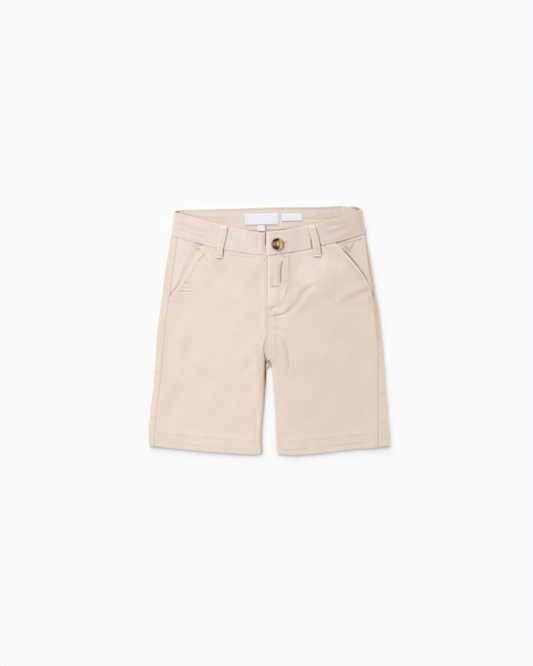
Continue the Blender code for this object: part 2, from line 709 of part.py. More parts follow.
make_fronts(outer)
make_facings(inside)
make_backs(outer)
make_band(outer)
belt_loop("belt_loop_right", RIGHT_LOOP, BAND_RIGHT, outer)
belt_loop("belt_loop_left", LEFT_LOOP, BAND_LEFT, outer)
make_button(horn, CUTTERS)
label("label_main", MAIN_LABEL, tape)
label("label_size", SIZE_LABEL, tape)
label("label_care", CARE_LABEL, tape)
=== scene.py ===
"""Boys' bermuda shorts in beige cotton twill, laid flat on their back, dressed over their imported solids.

X runs from the wearer's right side (-X) to the left, Y from the hems up to the waist, and Z up from the
surface that the shorts lie on. Sizes are in millimetres until a mesh is made. Each piece of cloth is a
grid of points on its outer face, which Solidify gives its wall.
"""

import math
from collections import namedtuple

import bpy
import numpy as np
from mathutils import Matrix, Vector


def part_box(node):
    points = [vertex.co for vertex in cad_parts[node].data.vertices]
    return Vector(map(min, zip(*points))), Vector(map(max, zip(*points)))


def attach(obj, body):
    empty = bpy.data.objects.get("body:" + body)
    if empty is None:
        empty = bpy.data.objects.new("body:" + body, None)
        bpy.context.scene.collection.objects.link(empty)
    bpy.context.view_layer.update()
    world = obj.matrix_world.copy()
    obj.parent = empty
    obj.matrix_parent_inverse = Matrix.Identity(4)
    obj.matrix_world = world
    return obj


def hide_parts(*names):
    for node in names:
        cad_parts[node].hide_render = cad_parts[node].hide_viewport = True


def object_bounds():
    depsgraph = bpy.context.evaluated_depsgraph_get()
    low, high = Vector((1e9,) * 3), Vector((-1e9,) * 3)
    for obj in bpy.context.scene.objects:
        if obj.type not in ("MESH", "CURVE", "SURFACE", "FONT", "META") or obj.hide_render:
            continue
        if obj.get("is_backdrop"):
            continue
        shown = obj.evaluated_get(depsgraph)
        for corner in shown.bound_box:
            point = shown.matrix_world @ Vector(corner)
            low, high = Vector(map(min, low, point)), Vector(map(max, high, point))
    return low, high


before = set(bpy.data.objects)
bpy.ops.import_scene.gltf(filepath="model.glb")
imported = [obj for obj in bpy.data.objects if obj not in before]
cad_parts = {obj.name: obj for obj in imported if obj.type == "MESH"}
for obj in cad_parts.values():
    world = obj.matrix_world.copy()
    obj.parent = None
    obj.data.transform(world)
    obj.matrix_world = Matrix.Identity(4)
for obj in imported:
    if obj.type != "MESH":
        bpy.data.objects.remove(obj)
cad_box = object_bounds()

# ---------------------------------------------------------------- back panels
# The two backs are beige cotton twill, each cut in one piece from the waist to the hem. A back lies flat
# under its leg, turns round the side fold and is sewn to the front 4 to 17 mm in from it, so that a strip
# of it shows beside the front. Its hem is turned up 22 mm and stitched through.
MM = 0.001
CLOTH = 1.0
HEM_WALL = 1.7
HEM_DEPTH = 22.0
HEM_Y = -176.0
HEM_STITCH_UP = 20.4
SEAM_GAP = 0.03
LAP_CLEAR = 0.3
MIDDLE_HEIGHT = 3.7
WAIST_RISE = 0.3
HEM_RISE = 0.5
FLY_RISE = 0.6
FLY_FOOT_Y = 36.0
POCKET_RISE = 0.5
FOLD_RADIUS = 2.5
HEM_RADIUS = 2.65
SIDE_SPRING = 24.0
INSEAM_ROLL = 2.6
INSEAM_PARTING = 0.55
HEM_PARTING = 0.8
CROTCH_TOP = -46.5
CROTCH_FOOT = -52.0
BACK_SHORTER = 0.4
MIDDLE_OF_LEG = 90.0
UNEVEN = 0.0028  # height of each wave of the washed cloth as a share of its pitch
PASSES = 24  # of the search for a grid's points between edges that depend on each other


def smooth(at, held):
    """A smooth curve through values held at rising places, straight past its ends."""
    slope = np.gradient(held, at)

    def curve(where):
        where = np.asarray(where, float)
        inside = np.clip(where, at[0], at[-1])
        i = np.clip(np.searchsorted(at, inside) - 1, 0, len(at) - 2)
        span = at[i + 1] - at[i]
        t = (inside - at[i]) / span
        start = held[i] * (1 + 2 * t) * (1 - t) ** 2 + slope[i] * span * t * (1 - t) ** 2
        end = held[i + 1] * t**2 * (3 - 2 * t) - slope[i + 1] * span * t**2 * (1 - t)
        past = np.where(where < at[0], slope[0], slope[-1]) * (where - inside)
        return start + end + past

    return curve


def curves(*rows):
    """A smooth curve through each further column of a table over its first one."""
    at, *columns = np.array(sorted(rows), float).T
    return [smooth(at, column) for column in columns]


def ramp(value, start, end):
    """0 before start and 1 after end, with a soft S between them."""
    t = np.clip((np.asarray(value, float) - start) / (end - start), 0, 1)
    return t * t * (3 - 2 * t)


def bump(off, width):
    """1 where off is 0, falling softly to almost nothing at twice the width to both sides."""
    return np.exp(-((off / width) ** 2))


def round_off(inward, width):
    """The share of a rounded edge's drop: 1 at the edge, and 0 from its width inward."""
    return 1 - np.sqrt(1 - np.clip(1 - inward / width, 0, 1) ** 2)


def steps(*runs):
    """Shares of a length, in runs that each go on to an end in steps of a size, both in millimetres."""
    at = [0.0]
    for end, step in runs:
        at.extend(np.linspace(at[-1], end, max(1, round((end - at[-1]) / step)) + 1)[1:])
    return np.array(at) / at[-1]


def wander(along, pitch, seed):
    """An uneven wave between -1 and 1, whose crests lie about a pitch apart."""
    phases = np.random.default_rng(seed).random(3)
    waves = [np.sin(2 * math.pi * (along / (pitch * s) + p)) for s, p in zip((0.63, 1.0, 1.7), phases)]
    return sum(waves) / len(waves)


# The edges that the pieces of one half share, as smooth curves. toward is +1 where the middle of the
# shorts lies to the +X side of the half, and -1 on the other one.
Half = namedtuple("Half", "name toward fold seam_in waist hem mouth")
# At each y: the right side fold's x, and how far in from it the seam lies, and then the same on the left.
right_fold, right_seam_in, left_fold, left_seam_in = curves(
    (172, -138.7, 10, 133.4, 1.6), (160, -140, 10, 134.9, 1.6), (148, -141.7, 10, 137.3, 1.6),
    (137, -142.9, 10.2, 139.8, 1.7), (117, -145.8, 10.4, 143.7, 3.2), (88, -151, 12, 148.4, 3.7),
    (58, -154.5, 11.2, 153.4, 4.4), (30, -158.5, 10.6, 158, 6.4), (0, -162.1, 10.8, 161.3, 6.5),
    (-28, -164.2, 10.3, 164.3, 7.4), (-72, -167.6, 9.7, 167.4, 10.9), (-115, -172.3, 9.2, 171, 14.4),
    (-145, -174.7, 8.4, 173.4, 16.5), (-170, -174.3, 7.5, 174.6, 17.2),
)
# The waistband's top and bottom edges over x, on each front half and on the back.
right_band = curves(
    (-143, 171.8, 137), (-130, 169.4, 133.3), (-101, 160.9, 125.3), (-72, 153.6, 117.6), (-43, 147, 113),
    (-8, 141.4, 108.9), (8, 142.9, 110.4), (30, 145.4, 114.6),
)
left_band = curves(
    (-4, 141.8, 108), (22, 145.2, 112), (56, 151.5, 117.4), (87, 158.7, 125.2), (109, 165.9, 130.6),
    (124, 171.2, 134.9), (141, 175, 140.6),
)
back_band = curves(
    (-143, 172.2, 137.2), (-130, 174.6, 140.9), (-107, 175.4, 142.4), (-60, 176.6, 143.6),
    (-14, 178.2, 145.2), (32, 179.1, 146.1), (79, 179.5, 146.4), (113, 180.6, 146.5), (125, 179.4, 144.6),
    (141, 174.6, 141),
)
# The bottom edge of each leg over x.
(right_hem,) = curves(
    (-174.5, -166.8), (-150, -169.8), (-104, -174.4), (-58, -177.9), (-34, -179.5), (-20, -179.6),
    (-14.5, -178.4), (-10.5, -175.6),
)
(left_hem,) = curves(
    (10, -177.8), (16, -179.2), (24, -179.7), (45, -179.9), (69, -178.1), (115, -172.6), (161, -168.6),
    (174.5, -166.4),
)
# The slanting pocket mouths' x at each y.
right_mouth, left_mouth = curves(
    (126, -94.2, 95.8), (105, -106.6, 115.4), (84, -119.3, 132.4), (64, -131, 143.8), (50, -144.4, 149),
)
RIGHT = Half("right", 1, right_fold, right_seam_in, right_band[1], right_hem, right_mouth)
LEFT = Half("left", -1, left_fold, left_seam_in, left_band[1], left_hem, left_mouth)
# The backs' inner edges at each y: the rise, and the inseam below the crotch.
right_back_inner, left_back_inner = curves(
    (145, -0.15, 0.15), (40, -0.15, 0.15), (-42, -0.15, 0.15), (-46.5, -0.15, 0.2), (-50, 0.3, 0.9),
    (-52.6, 0.6, 2.2), (-53.8, -1.4, 3.2), (-55.2, -3.4, 3.5), (-57.5, -3.9, 3.6), (-61, -4.1, 3.9),
    (-72, -5.1, 4.9), (-86, -6.2, 6), (-101, -7.6, 6.9), (-130, -10.1, 8.6), (-158, -11.9, 9.2),
    (-178, -10.4, 10.4),
)
# Soft folds across the front, each a straight run: x and y of both ends, full width, and middle height.
FOLDS = (
    (18, 22, 112, 90, 26, 0.7),
    (30, 14, 104, 58, 18, -0.5),
    (90, 36, 150, 66, 13, 1.1),
    (64, 118, 42, 60, 20, 0.6),
    (13, -2, 27, -48, 10, 0.9),
    (-16, 10, -60, 62, 20, 0.7),
    (-14, -30, -50, -74, 14, -0.6),
    (-15, -34, -17, -130, 16, 0.9),
    (30, -66, 62, -130, 18, 0.8),
    (118, 6, 140, -84, 20, -0.6),
    (-122, 20, -138, -96, 20, 0.6),
    (-90, 110, -62, 84, 12, 0.6),
    (-128, -40, -70, -66, 22, 0.5),
    (96, -30, 40, -52, 22, 0.5),
)


def seam(half, y):
    """The x of a side seam."""
    return half.fold(y) + half.toward * half.seam_in(y)


def above_hem(x, y):
    """How far a point lies above the bottom edge of its leg."""
    return y - np.where(x < 0, RIGHT.hem(np.minimum(x, 0)), LEFT.hem(np.maximum(x, 0)))


def fold_radius(y):
    hem = 1 - ramp(y, HEM_Y + HEM_DEPTH + 8, HEM_Y + 2 * HEM_DEPTH + 8)
    return FOLD_RADIUS + (HEM_RADIUS - FOLD_RADIUS) * hem


def unevenness(x, y):
    """The slight waves of washed cloth that lies loose, alike in slope at each size."""
    draw = np.random.default_rng(11)
    total = np.zeros(np.broadcast(x, y).shape)
    for pitch in (9, 13, 18, 25, 34, 47, 66):
        turn, phase = draw.random(2) * 2 * math.pi
        run = x * math.cos(turn) + y * math.sin(turn)
        total = total + UNEVEN * pitch * np.sin(2 * math.pi * run / pitch + phase)
    return total


def soft_folds(x, y):
    total = np.zeros(np.broadcast(x, y).shape)
    for x0, y0, x1, y1, width, height in FOLDS:
        length = math.hypot(x1 - x0, y1 - y0)
        ahead, up = (x1 - x0) / length, (y1 - y0) / length
        run = (x - x0) * ahead + (y - y0) * up
        off = (y - y0) * ahead - (x - x0) * up
        ends = ramp(run, 0, length / 3) * (1 - ramp(run, length * 2 / 3, length))
        total = total + height * ends * bump(off, width / 2)
    return total


def front_height(x, y):
    """The height of the cloth on top, without laps, rolled inner edges or a gaping pocket."""
    radius = fold_radius(y)
    into = np.minimum(x - RIGHT.fold(y), LEFT.fold(y) - x)
    hem = 1 - ramp(above_hem(x, y), HEM_DEPTH - 3, HEM_DEPTH + 8)
    middle = MIDDLE_HEIGHT + WAIST_RISE * ramp(y, 60, 130) + HEM_RISE * hem
    flat = middle + (2 * radius - middle) * bump(np.maximum(into - radius, 0), SIDE_SPRING)
    fly = ramp(y, FLY_FOOT_Y - 16, FLY_FOOT_Y + 16) * (1 - ramp(np.abs(x), 16, 44))
    pocket = ramp(y, 20, 60) * ramp(np.abs(x), 60, 96)
    waves = FLY_RISE * fly + POCKET_RISE * pocket + soft_folds(x, y) + unevenness(x, y)
    flat = flat + waves * ramp(into, radius, 14)
    over = np.clip(radius - into, 0, radius)
    return np.where(into < radius, radius + np.sqrt(radius**2 - over**2), flat)


def roll_share(distance, width, y):
    """How far round a rolled inner edge a point is, as its share of the drop, from 0 to 1 at the edge."""
    return round_off(distance, width) * (1 - ramp(y, CROTCH_FOOT, CROTCH_TOP))


def inseam_level(y):
    """The height of an inseam, and how far the front and the back stop short of it."""
    hem = 1 - ramp(y, HEM_Y + HEM_DEPTH - 2, HEM_Y + HEM_DEPTH + 6)
    return (MIDDLE_HEIGHT + HEM_RISE * hem) / 2, INSEAM_PARTING + (HEM_PARTING - INSEAM_PARTING) * hem


def hemmed(x, y):
    """Each point's share of the full wall: one layer, and two below the hem's fold."""
    single = CLOTH / HEM_WALL
    return single + (1 - single) * (1 - ramp(above_hem(x, y), HEM_DEPTH - 2.4, HEM_DEPTH))


# A crease is a smooth route with its half width, its depth and its painted shade: 1 darkens the cloth to
# its shade tint, up to 2 is painted shadow in a dark hollow, and below 0 paints the cloth lighter, for
# wear and highlight. A ridge has a depth below 0.
Crease = namedtuple("Crease", "width depth shade route")
SHADE_NARROWER = 1.2
LIP_HEIGHT = 0.3  # of the cloth that a crease pushes up on both sides, as a share of its depth
FAINT = 0.05  # a seam's shade up to which a place lightened for wear and painted highlight still shows through


def creases(*rows):
    """A table of creases from rows of width, depth and shade, then x and y of each point of the route."""
    return [Crease(width, depth, shade, np.reshape(route, (-1, 2))) for width, depth, shade, *route in rows]


def walk(route, step):
    """Points at even steps along a smooth curve through a route's own points."""
    ends = np.array(route, float)
    run = np.concatenate([[0], np.cumsum(np.hypot(*np.diff(ends, axis=0).T))])
    at = np.linspace(0, run[-1], max(2, round(run[-1] / step) + 1))
    return np.stack([smooth(run, ends[:, 0])(at), smooth(run, ends[:, 1])(at)], axis=-1)


def creased(x, y, table):
    """What a table of creases does at each point: its rise or fall, and its shade from -1 to 2."""
    x, y = np.broadcast_arrays(x, y)
    rise, shade, worn_and_highlit = np.zeros(x.shape), np.zeros(x.shape), np.zeros(x.shape)
    for number, crease in enumerate(table):
        line = walk(crease.route, 2.0)
        low, high = line.min(0) - 4 * crease.width, line.max(0) + 4 * crease.width
        close = (x > low[0]) & (x < high[0]) & (y > low[1]) & (y < high[1])
        if not close.any():
            continue
        start, step = line[:-1], np.diff(line, axis=0)
        offset = np.stack([x[close], y[close]], axis=-1)[:, None, :] - start
        share = np.clip((offset * step).sum(-1) / (step**2).sum(-1), 0, 1)
        gaps = np.linalg.norm(offset - share[..., None] * step, axis=-1)
        nearest = gaps.argmin(axis=1)
        each = np.arange(len(nearest))
        gap = gaps[each, nearest] / crease.width
        along = (nearest + share[each, nearest]) / len(step)
        full = ramp(along, -0.02, 0.22) * (1 - ramp(along, 0.78, 1.02))
        full = full * (0.85 + 0.15 * wander(along * len(step) * 2, 9, number))
        rise[close] += crease.depth * full * (LIP_HEIGHT * bump(gap - 2, 0.9) - bump(gap, 1))
        # painted shade along the crease, and below 0 painted highlight with wear
        tone = crease.shade * full * bump(SHADE_NARROWER * gap, 1)
        shade[close] = np.maximum(shade[close], tone)
        worn_and_highlit[close] = np.minimum(worn_and_highlit[close], tone)
    return rise, shade + worn_and_highlit


def deepened(shade, at_least):
    """The painted shade raised to a seam's own, not covering what is lightened for wear and highlight
    elsewhere.
    """
    worn_and_highlit = np.minimum(shade, 0) * np.clip(1 - at_least / FAINT, 0, 1)
    return np.maximum(np.maximum(shade, 0), at_least) + worn_and_highlit


def only(piece):
    """Selects one object and makes it active."""
    bpy.ops.object.select_all(action="DESELECT")
    piece.select_set(True)
    bpy.context.view_layer.objects.active = piece


def from_mesh(name, points, faces, shade, material):
    """A new object from points in millimetres, with the shade of each in the attribute crease."""
    mesh = bpy.data.meshes.new(name)
    mesh.from_pydata((points.reshape(-1, 3) * MM).tolist(), [], faces)
    held = mesh.attributes.new("crease", "FLOAT", "POINT")
    held.data.foreach_set("value", shade.reshape(-1).astype(np.float32))
    mesh.materials.append(material)
    piece = bpy.data.objects.new(name, mesh)
    bpy.context.collection.objects.link(piece)
    only(piece)
    return piece


SIDE_FALLOFF_SHADE = 0.13  # painted shade: how much darker the cloth grows towards the wearer's left, as the lamp's light falls off
LEFT_HIP_DARKER = 0.06  # and its hip still more
RIGHT_LEG_DARKER = 0.04  # how much deeper the right leg is than the right hip
LEFT_LEG_DARKER = 0.05  # and the left leg than the left hip


def cloth(node, x, y, z, wall, shade, material, thickness=1.0, toward=1):
    """A piece of cloth in place of its solid, from a grid of its outer face's points.

    The grid's rows run down the piece and its columns to the wearer's left, seen from outside, or to the
    right where toward is -1. shade is the painted shade of each point, and thickness its share of the wall.
    """
    # painted shade: darker towards the wearer's left as the light falls off, darker on the left hip and
    # lower down each leg
    shade = shade + SIDE_FALLOFF_SHADE * ramp(x, -100, 150) + LEFT_HIP_DARKER * ramp(x, 20, 90) * ramp(y, -40, 60)
    shade = shade + RIGHT_LEG_DARKER * (1 - ramp(y, -120, 30)) * (1 - ramp(x, -20, 20))
    shade = shade + LEFT_LEG_DARKER * (1 - ramp(y, -60, 30)) * ramp(x, -20, 20)
    x, y, z, shade, share = (part[:, ::toward] for part in np.broadcast_arrays(x, y, z, shade, thickness))
    corner = np.arange(x.size).reshape(x.shape)
    faces = np.stack([corner[:-1, :-1], corner[1:, :-1], corner[1:, 1:], corner[:-1, 1:]], axis=-1)
    points = np.stack([x, y, z], axis=-1)
    piece = from_mesh(node + "_cloth", points, faces.reshape(-1, 4).tolist(), shade, material)
    maker = piece.modifiers.new("wall", "SOLIDIFY")
    maker.thickness = wall * MM
    maker.offset = -1
    maker.use_even_offset = True
    maker.use_quality_normals = True
    if np.ndim(thickness):
        group = piece.vertex_groups.new(name="wall")
        for index, weight in enumerate(share.reshape(-1)):
            group.add([index], float(weight), "REPLACE")
        maker.vertex_group = group.name
    bpy.ops.object.modifier_apply(modifier=maker.name)
    bpy.ops.object.shade_smooth_by_angle(angle=math.radians(50))
    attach(piece, "root")
    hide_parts(node)
    return piece


def linear(code):
    """An sRGB hex colour as the linear one that a shader takes."""
    shares = [int(code[i : i + 2], 16) / 255 for i in (1, 3, 5)]
    return (*(s / 12.92 if s <= 0.04045 else ((s + 0.055) / 1.055) ** 2.4 for s in shares), 1.0)


def new_material(name):
    """An empty material, and the function that adds a node to it."""
    material = bpy.data.materials.new(name)
    material.use_nodes = True
    tree = material.node_tree
    tree.nodes.clear()

    def add(kind, inputs, output=None, **settings):
        """A new node's output, with its settings, and each input set to a value or linked to an output."""
        made = tree.nodes.new("ShaderNode" + kind)
        for setting, value in settings.items():
            setattr(made, setting, value)
        for socket, value in inputs.items():
            if isinstance(value, bpy.types.NodeSocket):
                tree.links.new(value, made.inputs[socket])
            else:
                made.inputs[socket].default_value = value
        outputs = [socket for socket in made.outputs if socket.enabled and output in (None, socket.name)]
        return outputs[0] if outputs else None

    return material, add


COLOUR_A, COLOUR_B = 6, 7  # a Mix node's colour inputs
TWILL_PITCH = 0.9  # of the diagonal lines: 0.6 mm on the real cloth, drawn coarser so that they show
TWILL_SLANT = 27.0
TWILL_RELIEF = 0.1
SLUB_WIDTH = 1.6  # of the thicker warp yarns that run down the cloth
SLUB_LENGTH = 14.0
SLUB_TONE = 0.015
CLOUD_SIZE = 26.0  # of the faint washed patches
# painted highlight with wear, where the crease attribute is below 0
WORN_AND_HIGHLIGHT = "#F3ECE5"
# painted shadow, where the crease attribute passes 1 in dark hollows
HOLLOW_SHADOW = "#3A2618"
WAVE_BANDS = 20 / (2 * math.pi)  # bands that a Wave Texture draws in one unit at scale 1


def washed_twill(name, face, washed, shade_tint, grain=0.0):
    """Garment-dyed cotton twill: matt, with fine diagonal lines, slubs down the warp and soft patches.

    The crease attribute paints the colour: lighter below 0 for wear and highlight, darker above 0 for shade,
    and past 1 towards painted shadow in hollows. grain turns the warp, in degrees.
    """
    material, add = new_material("garment_dyed_twill_" + name)
    place = add("TexCoord", {}, "Object")
    lines = add("Mapping", {"Vector": place, "Rotation": (0, 0, math.radians(grain + TWILL_SLANT))})
    scale = 1 / (TWILL_PITCH * MM) / WAVE_BANDS
    waves = {"Vector": lines, "Scale": scale, "Distortion": 1.2, "Detail": 1.0, "Detail Scale": 1.5}
    wale = add("TexWave", waves, "Fac", bands_direction="X")
    drawn = (1, SLUB_WIDTH / SLUB_LENGTH, 1)
    warp = add("Mapping", {"Vector": place, "Rotation": (0, 0, math.radians(grain)), "Scale": drawn})
    slub = add("TexNoise", {"Vector": warp, "Scale": 1 / (SLUB_WIDTH * MM), "Detail": 2})
    cloud = add("TexNoise", {"Vector": place, "Scale": 1 / (CLOUD_SIZE * MM), "Detail": 3})
    patch = add("MapRange", {"Value": cloud, "From Min": 0.35, "From Max": 0.65})
    spread = {"From Min": 0.3, "From Max": 0.7, "To Min": 1 - SLUB_TONE, "To Max": 1 + SLUB_TONE}
    tone = add("MapRange", {"Value": slub, **spread})
    colour = linear(face)
    crease = add("Attribute", {}, "Fac", attribute_name="crease")
    # painted highlight with wear below 0 of the crease attribute, painted shade above 0, painted shadow past
    # 1
    worn_highlight_share = add("Math", {0: crease, 1: -1.0}, operation="MULTIPLY")
    past = add("Math", {0: crease, 1: -1.0}, operation="ADD")
    for share, tint in ((patch, washed), (worn_highlight_share, WORN_AND_HIGHLIGHT), (crease, shade_tint), (past, HOLLOW_SHADOW)):
        colour = add("Mix", {"Factor": share, COLOUR_A: colour, COLOUR_B: linear(tint)}, data_type="RGBA")
        if share is patch:
            colour = add("VectorMath", {0: colour, 1: tone}, operation="MULTIPLY")
    yarns = add("Math", {0: wale, 1: slub}, operation="ADD")
    relief = add("Bump", {"Height": yarns, "Strength": 0.35, "Distance": TWILL_RELIEF * MM})
    gloss = {"Roughness": 0.9, "IOR": 1.45, "Specular IOR Level": 0.25}
    fuzz = {"Sheen Weight": 0.12, "Sheen Roughness": 0.5}
    shader = add("BsdfPrincipled", {"Base Color": colour, "Normal": relief, **gloss, **fuzz})
    add("OutputMaterial", {"Surface": shader})
    return material


def side_wrap(half, y, shares):
    """Points from under a side fold, round its arc and on over the front to the side seam.

    It gives their x, and the angle round the arc, from -90 degrees below to 90 above.
    """
    bow = fold_radius(y)
    inset = half.seam_in(y)
    stop = np.where(inset < bow, np.arccos(np.clip(1 - inset / bow, -1, 1)), math.pi / 2)
    arc = bow * (math.pi / 2 + stop)
    run = shares[None, :] * (arc + np.maximum(inset - bow, 0))
    angle = np.minimum(run, arc) / bow - math.pi / 2
    depth = bow * (1 - np.cos(angle)) + np.maximum(run - arc, 0)
    return half.fold(y) + half.toward * depth, angle


BACK_ROWS = steps((1.2, 0.4), (170, 1.5), (222, 1.0), (296, 1.6), (322, 0.9))
BACK_ROLL = np.linspace(math.pi / 2, 0, 6)[:-1]
BACK_UNDER = np.linspace(1, 0, 30)
BACK_WRAP = steps((12, 0.8), (22, 0.7), (23.2, 0.3))[1:]
SEAM_DIP_WIDTH = 1.3
SEAM_LINE = 0.9  # half the width of the dark line along a seam
SIDE_DIP = 0.28
SIDE_SHADE = 0.24
HEM_LIFT = 0.2
HEM_SHADE = 0.15
CROTCH_SHADE_FOOT = -68.0
CROTCH_SHADE = 0.35
CROTCH_LUMP = 1.5


def seam_dip(distance, depth):
    """How far cloth sinks towards a seam."""
    return -depth * bump(distance, SEAM_DIP_WIDTH)


def back_panel(half, inner, table, under_table, material, dull, turned):
    """dull is how much painted shade its strip takes from the middle of the leg upwards, and turned is the
    painted shade where the side fold turns down, a painted highlight where it is below 0.
    """
    toward = half.toward
    v = np.tile(BACK_ROWS[:, None], (1, len(BACK_ROLL) + len(BACK_UNDER) + len(BACK_WRAP)))
    x = np.full(v.shape, -toward * MIDDLE_OF_LEG)
    on_top = np.zeros(v.shape)
    for _ in range(PASSES):
        upper = back_band[1](x) * (1 - on_top) + half.waist(x) * on_top - SEAM_GAP
        y = upper * (1 - v) + (half.hem(x) + BACK_SHORTER) * v
        rolled, under, wrapped = np.split(y, [len(BACK_ROLL), len(BACK_ROLL) + len(BACK_UNDER)], axis=1)
        x_rolled = inner(rolled) - toward * INSEAM_ROLL * (1 - np.sin(BACK_ROLL))
        begin = inner(under) - toward * INSEAM_ROLL
        bend = half.fold(under) + toward * fold_radius(under)
        x_under = begin * BACK_UNDER + bend * (1 - BACK_UNDER)
        x_over, angle = side_wrap(half, wrapped, BACK_WRAP)
        x = np.concatenate([x_rolled, x_under, x_over], axis=1)
        on_top = np.concatenate([0 * x_rolled, 0 * x_under, (1 + np.sin(angle)) / 2], axis=1)
    level, parting = inseam_level(rolled)
    z_rolled = (level - parting) * roll_share(np.abs(inner(rolled) - x_rolled), INSEAM_ROLL, rolled)
    to_seam = np.abs(seam(half, wrapped) - x_over)
    rise, shade = creased(x_over, wrapped, table)
    over = front_height(x_over, wrapped) + (rise + seam_dip(to_seam, SIDE_DIP)) * ramp(angle, 0.6, 1.3)
    z_over = np.where(angle < 0, fold_radius(wrapped) * (1 + np.sin(angle)), over)
    shade = np.maximum(shade, SIDE_SHADE * bump(to_seam, SEAM_LINE) * (angle > 0.3))
    shade = shade + dull * ramp(wrapped, -60, 30) * ramp(angle, 0.2, 0.8)
    shade = shade + turned * (1 - ramp(angle, 0.7, 1.5))
    # underneath, folds and the hem's stitching lift the cloth off the surface, and the crotch seam is thick
    lift, folded = creased(x_under, under, under_table)
    hem_line = bump(above_hem(x_under, under) - HEM_STITCH_UP, 1.2)
    lump = bump(x_under + 1, 4) * ramp(under, -56, -51) * (1 - ramp(under, -44, -38))
    z_under = np.maximum(-lift, 0) + HEM_LIFT * hem_line + CROTCH_LUMP * lump
    z = np.concatenate([z_rolled, z_under, z_over], axis=1)
    at_crotch = ramp(y, CROTCH_SHADE_FOOT, CROTCH_FOOT) * (1 - ramp(np.abs(x), 8, 14)) * (y < 0)
    shade = np.concatenate([0 * x_rolled, folded + HEM_SHADE * hem_line, shade], axis=1)
    shade = shade + CROTCH_SHADE * at_crotch
    piece = cloth("back_" + half.name, x, y, z, HEM_WALL, shade, material, hemmed(x, y), toward)


# Short creases across the strips beside the fronts, where the side folds give.
RIGHT_SIDE_CREASES = creases(
    (1.6, 0.3, 0.1, -147, 108, -143, 104, -138, 103),
    (2.2, 0.25, 0.05, -155, 62, -150, 58, -144, 58),
    (1.8, 0.3, 0.08, -160, 12, -156, 8, -151, 8),
    (2.4, 0.3, 0.06, -166, -58, -163, -62, -158, -63),
    (2, 0.35, 0.08, -173, -126, -169, -130, -164, -130),
)
LEFT_SIDE_CREASES = creases(
    (1.6, 0.3, 0.16, 150, 74, 147, 70, 143, 69),
    (1.8, 0.25, 0.14, 158, 34, 155, 28, 152, 27),
    (2, 0.3, 0.14, 162, -10, 158, -14, 152, -14),
    (1.8, -0.25, -0.25, 165, -38, 161, -42, 156, -41),
    (2.4, 0.35, 0.16, 170, -88, 165, -92, 157, -92),
    (2, -0.25, -0.25, 170, -106, 164, -109, 158, -108),
    (2, 0.3, 0.16, 173, -130, 168, -134, 160, -133),
    (1.8, -0.25, -0.3, 172, -152, 166, -155, 160, -154),
)
# Folds of the seat and the legs underneath, pressed flat by the weight of the cloth.
RIGHT_UNDER_CREASES = creases(
    (2.6, 0.5, 0.16, -12, 96, -44, 84, -78, 80, -110, 86),
    (2, 0.4, 0.14, -10, 40, -36, 22, -66, 10, -96, 6),
    (2.4, 0.5, 0.18, -12, -26, -34, -44, -60, -72, -80, -104),
    (1.8, 0.35, 0.12, -140, 30, -112, 18, -84, 20),
    (3, 0.45, 0.12, -100, -40, -112, -86, -108, -134),
    (1.6, 0.35, 0.14, -20, -120, -46, -128, -74, -126),
)
LEFT_UNDER_CREASES = creases(
    (2.4, 0.5, 0.16, 12, 88, 40, 78, 70, 82, 104, 96),
    (2.2, 0.4, 0.14, 10, 30, 40, 18, 74, 14, 102, 20),
    (2.4, 0.5, 0.18, 12, -30, 30, -52, 50, -84, 60, -118),
    (1.6, 0.35, 0.12, 142, 44, 116, 30, 90, 34),
    (2.8, 0.45, 0.12, 112, -20, 104, -66, 114, -112),
    (1.8, 0.35, 0.14, 26, -136, 54, -130, 84, -134),
)
twill = washed_twill("back_right", "#EADBCE", "#E8DACA", "#A88E77")
back_panel(RIGHT, right_back_inner, RIGHT_SIDE_CREASES, RIGHT_UNDER_CREASES, twill, dull=0.04, turned=0.26)
# the left back's face and washed tints are a little darker than the right's: painted shade for the light
# falling off towards the wearer's left
twill = washed_twill("back_left", "#E6D7C9", "#E4D6C4", "#A08770")
back_panel(LEFT, left_back_inner, LEFT_SIDE_CREASES, LEFT_UNDER_CREASES, twill, dull=0.22, turned=-0.7)

# ---------------------------------------------------------------- pocket facings
# Behind each slanting pocket mouth the hip is closed by a facing of the same twill. It is sewn in with
# the side seam and the waist seam and runs on a little way under the front.
POCKET_UNDERLAY = 12.0
POCKET_FOOT_Y = 52.0
FACING_FOOT_Y = 46.0
MOUTH_CLEAR = 0.55
MOUTH_SHADE = 0.8
MOUTH_SHADE_REACH = 1.5
WAIST_DIP = 0.08
WAIST_SHADE = 0.05
WAIST_SHADE_LEFT = 0.16
FACING_WAIST_SHARE = 0.3
RIGHT_FACING_CREASES = creases(
    (0.8, 0.2, 0.26, -131, 129, -124, 127, -112.7, 122.8, -103, 120.4),
    (0.9, -0.15, -0.2, -130, 126.2, -122, 124, -112, 120.2),
    (1.8, 0.15, 0.05, -116, 116, -124, 106, -133, 92),
    (2.4, -0.15, -0.12, -130, 116, -126, 100, -128, 84),
)
LEFT_FACING_CREASES = creases(
    # the shadow in the gaping mouth, and the fold that its pull draws
    (1.5, 0.4, 1.05, 101, 121.8, 110, 112.8, 118, 103.6, 126.8, 91.8, 135, 80.2, 142, 69),
    (3.6, 0.4, 0.36, 107, 123, 114, 116, 117, 110),
    (2.4, 0.45, 0.36, 123, 127.6, 118.6, 120.4, 114.6, 113.6),
    (0.9, 0.3, 0.5, 104, 125.4, 116.4, 127.4, 126.6, 130.2, 139, 135.2),
    (0.9, -0.2, -0.4, 106, 128.8, 118, 130.6, 128, 133.4, 137, 137),
    (3, -0.3, -0.24, 130, 124, 133, 106, 137, 88),
    (1, 0.3, 0.3, 139.6, 130, 141.6, 112, 143.8, 90, 145.4, 70),
)


def waist_shade(x, below):
    """The painted shade in the seam under the waistband, darker on the wearer's left."""
    return (WAIST_SHADE + WAIST_SHADE_LEFT * ramp(x, -20, 110)) * bump(below, SEAM_LINE)


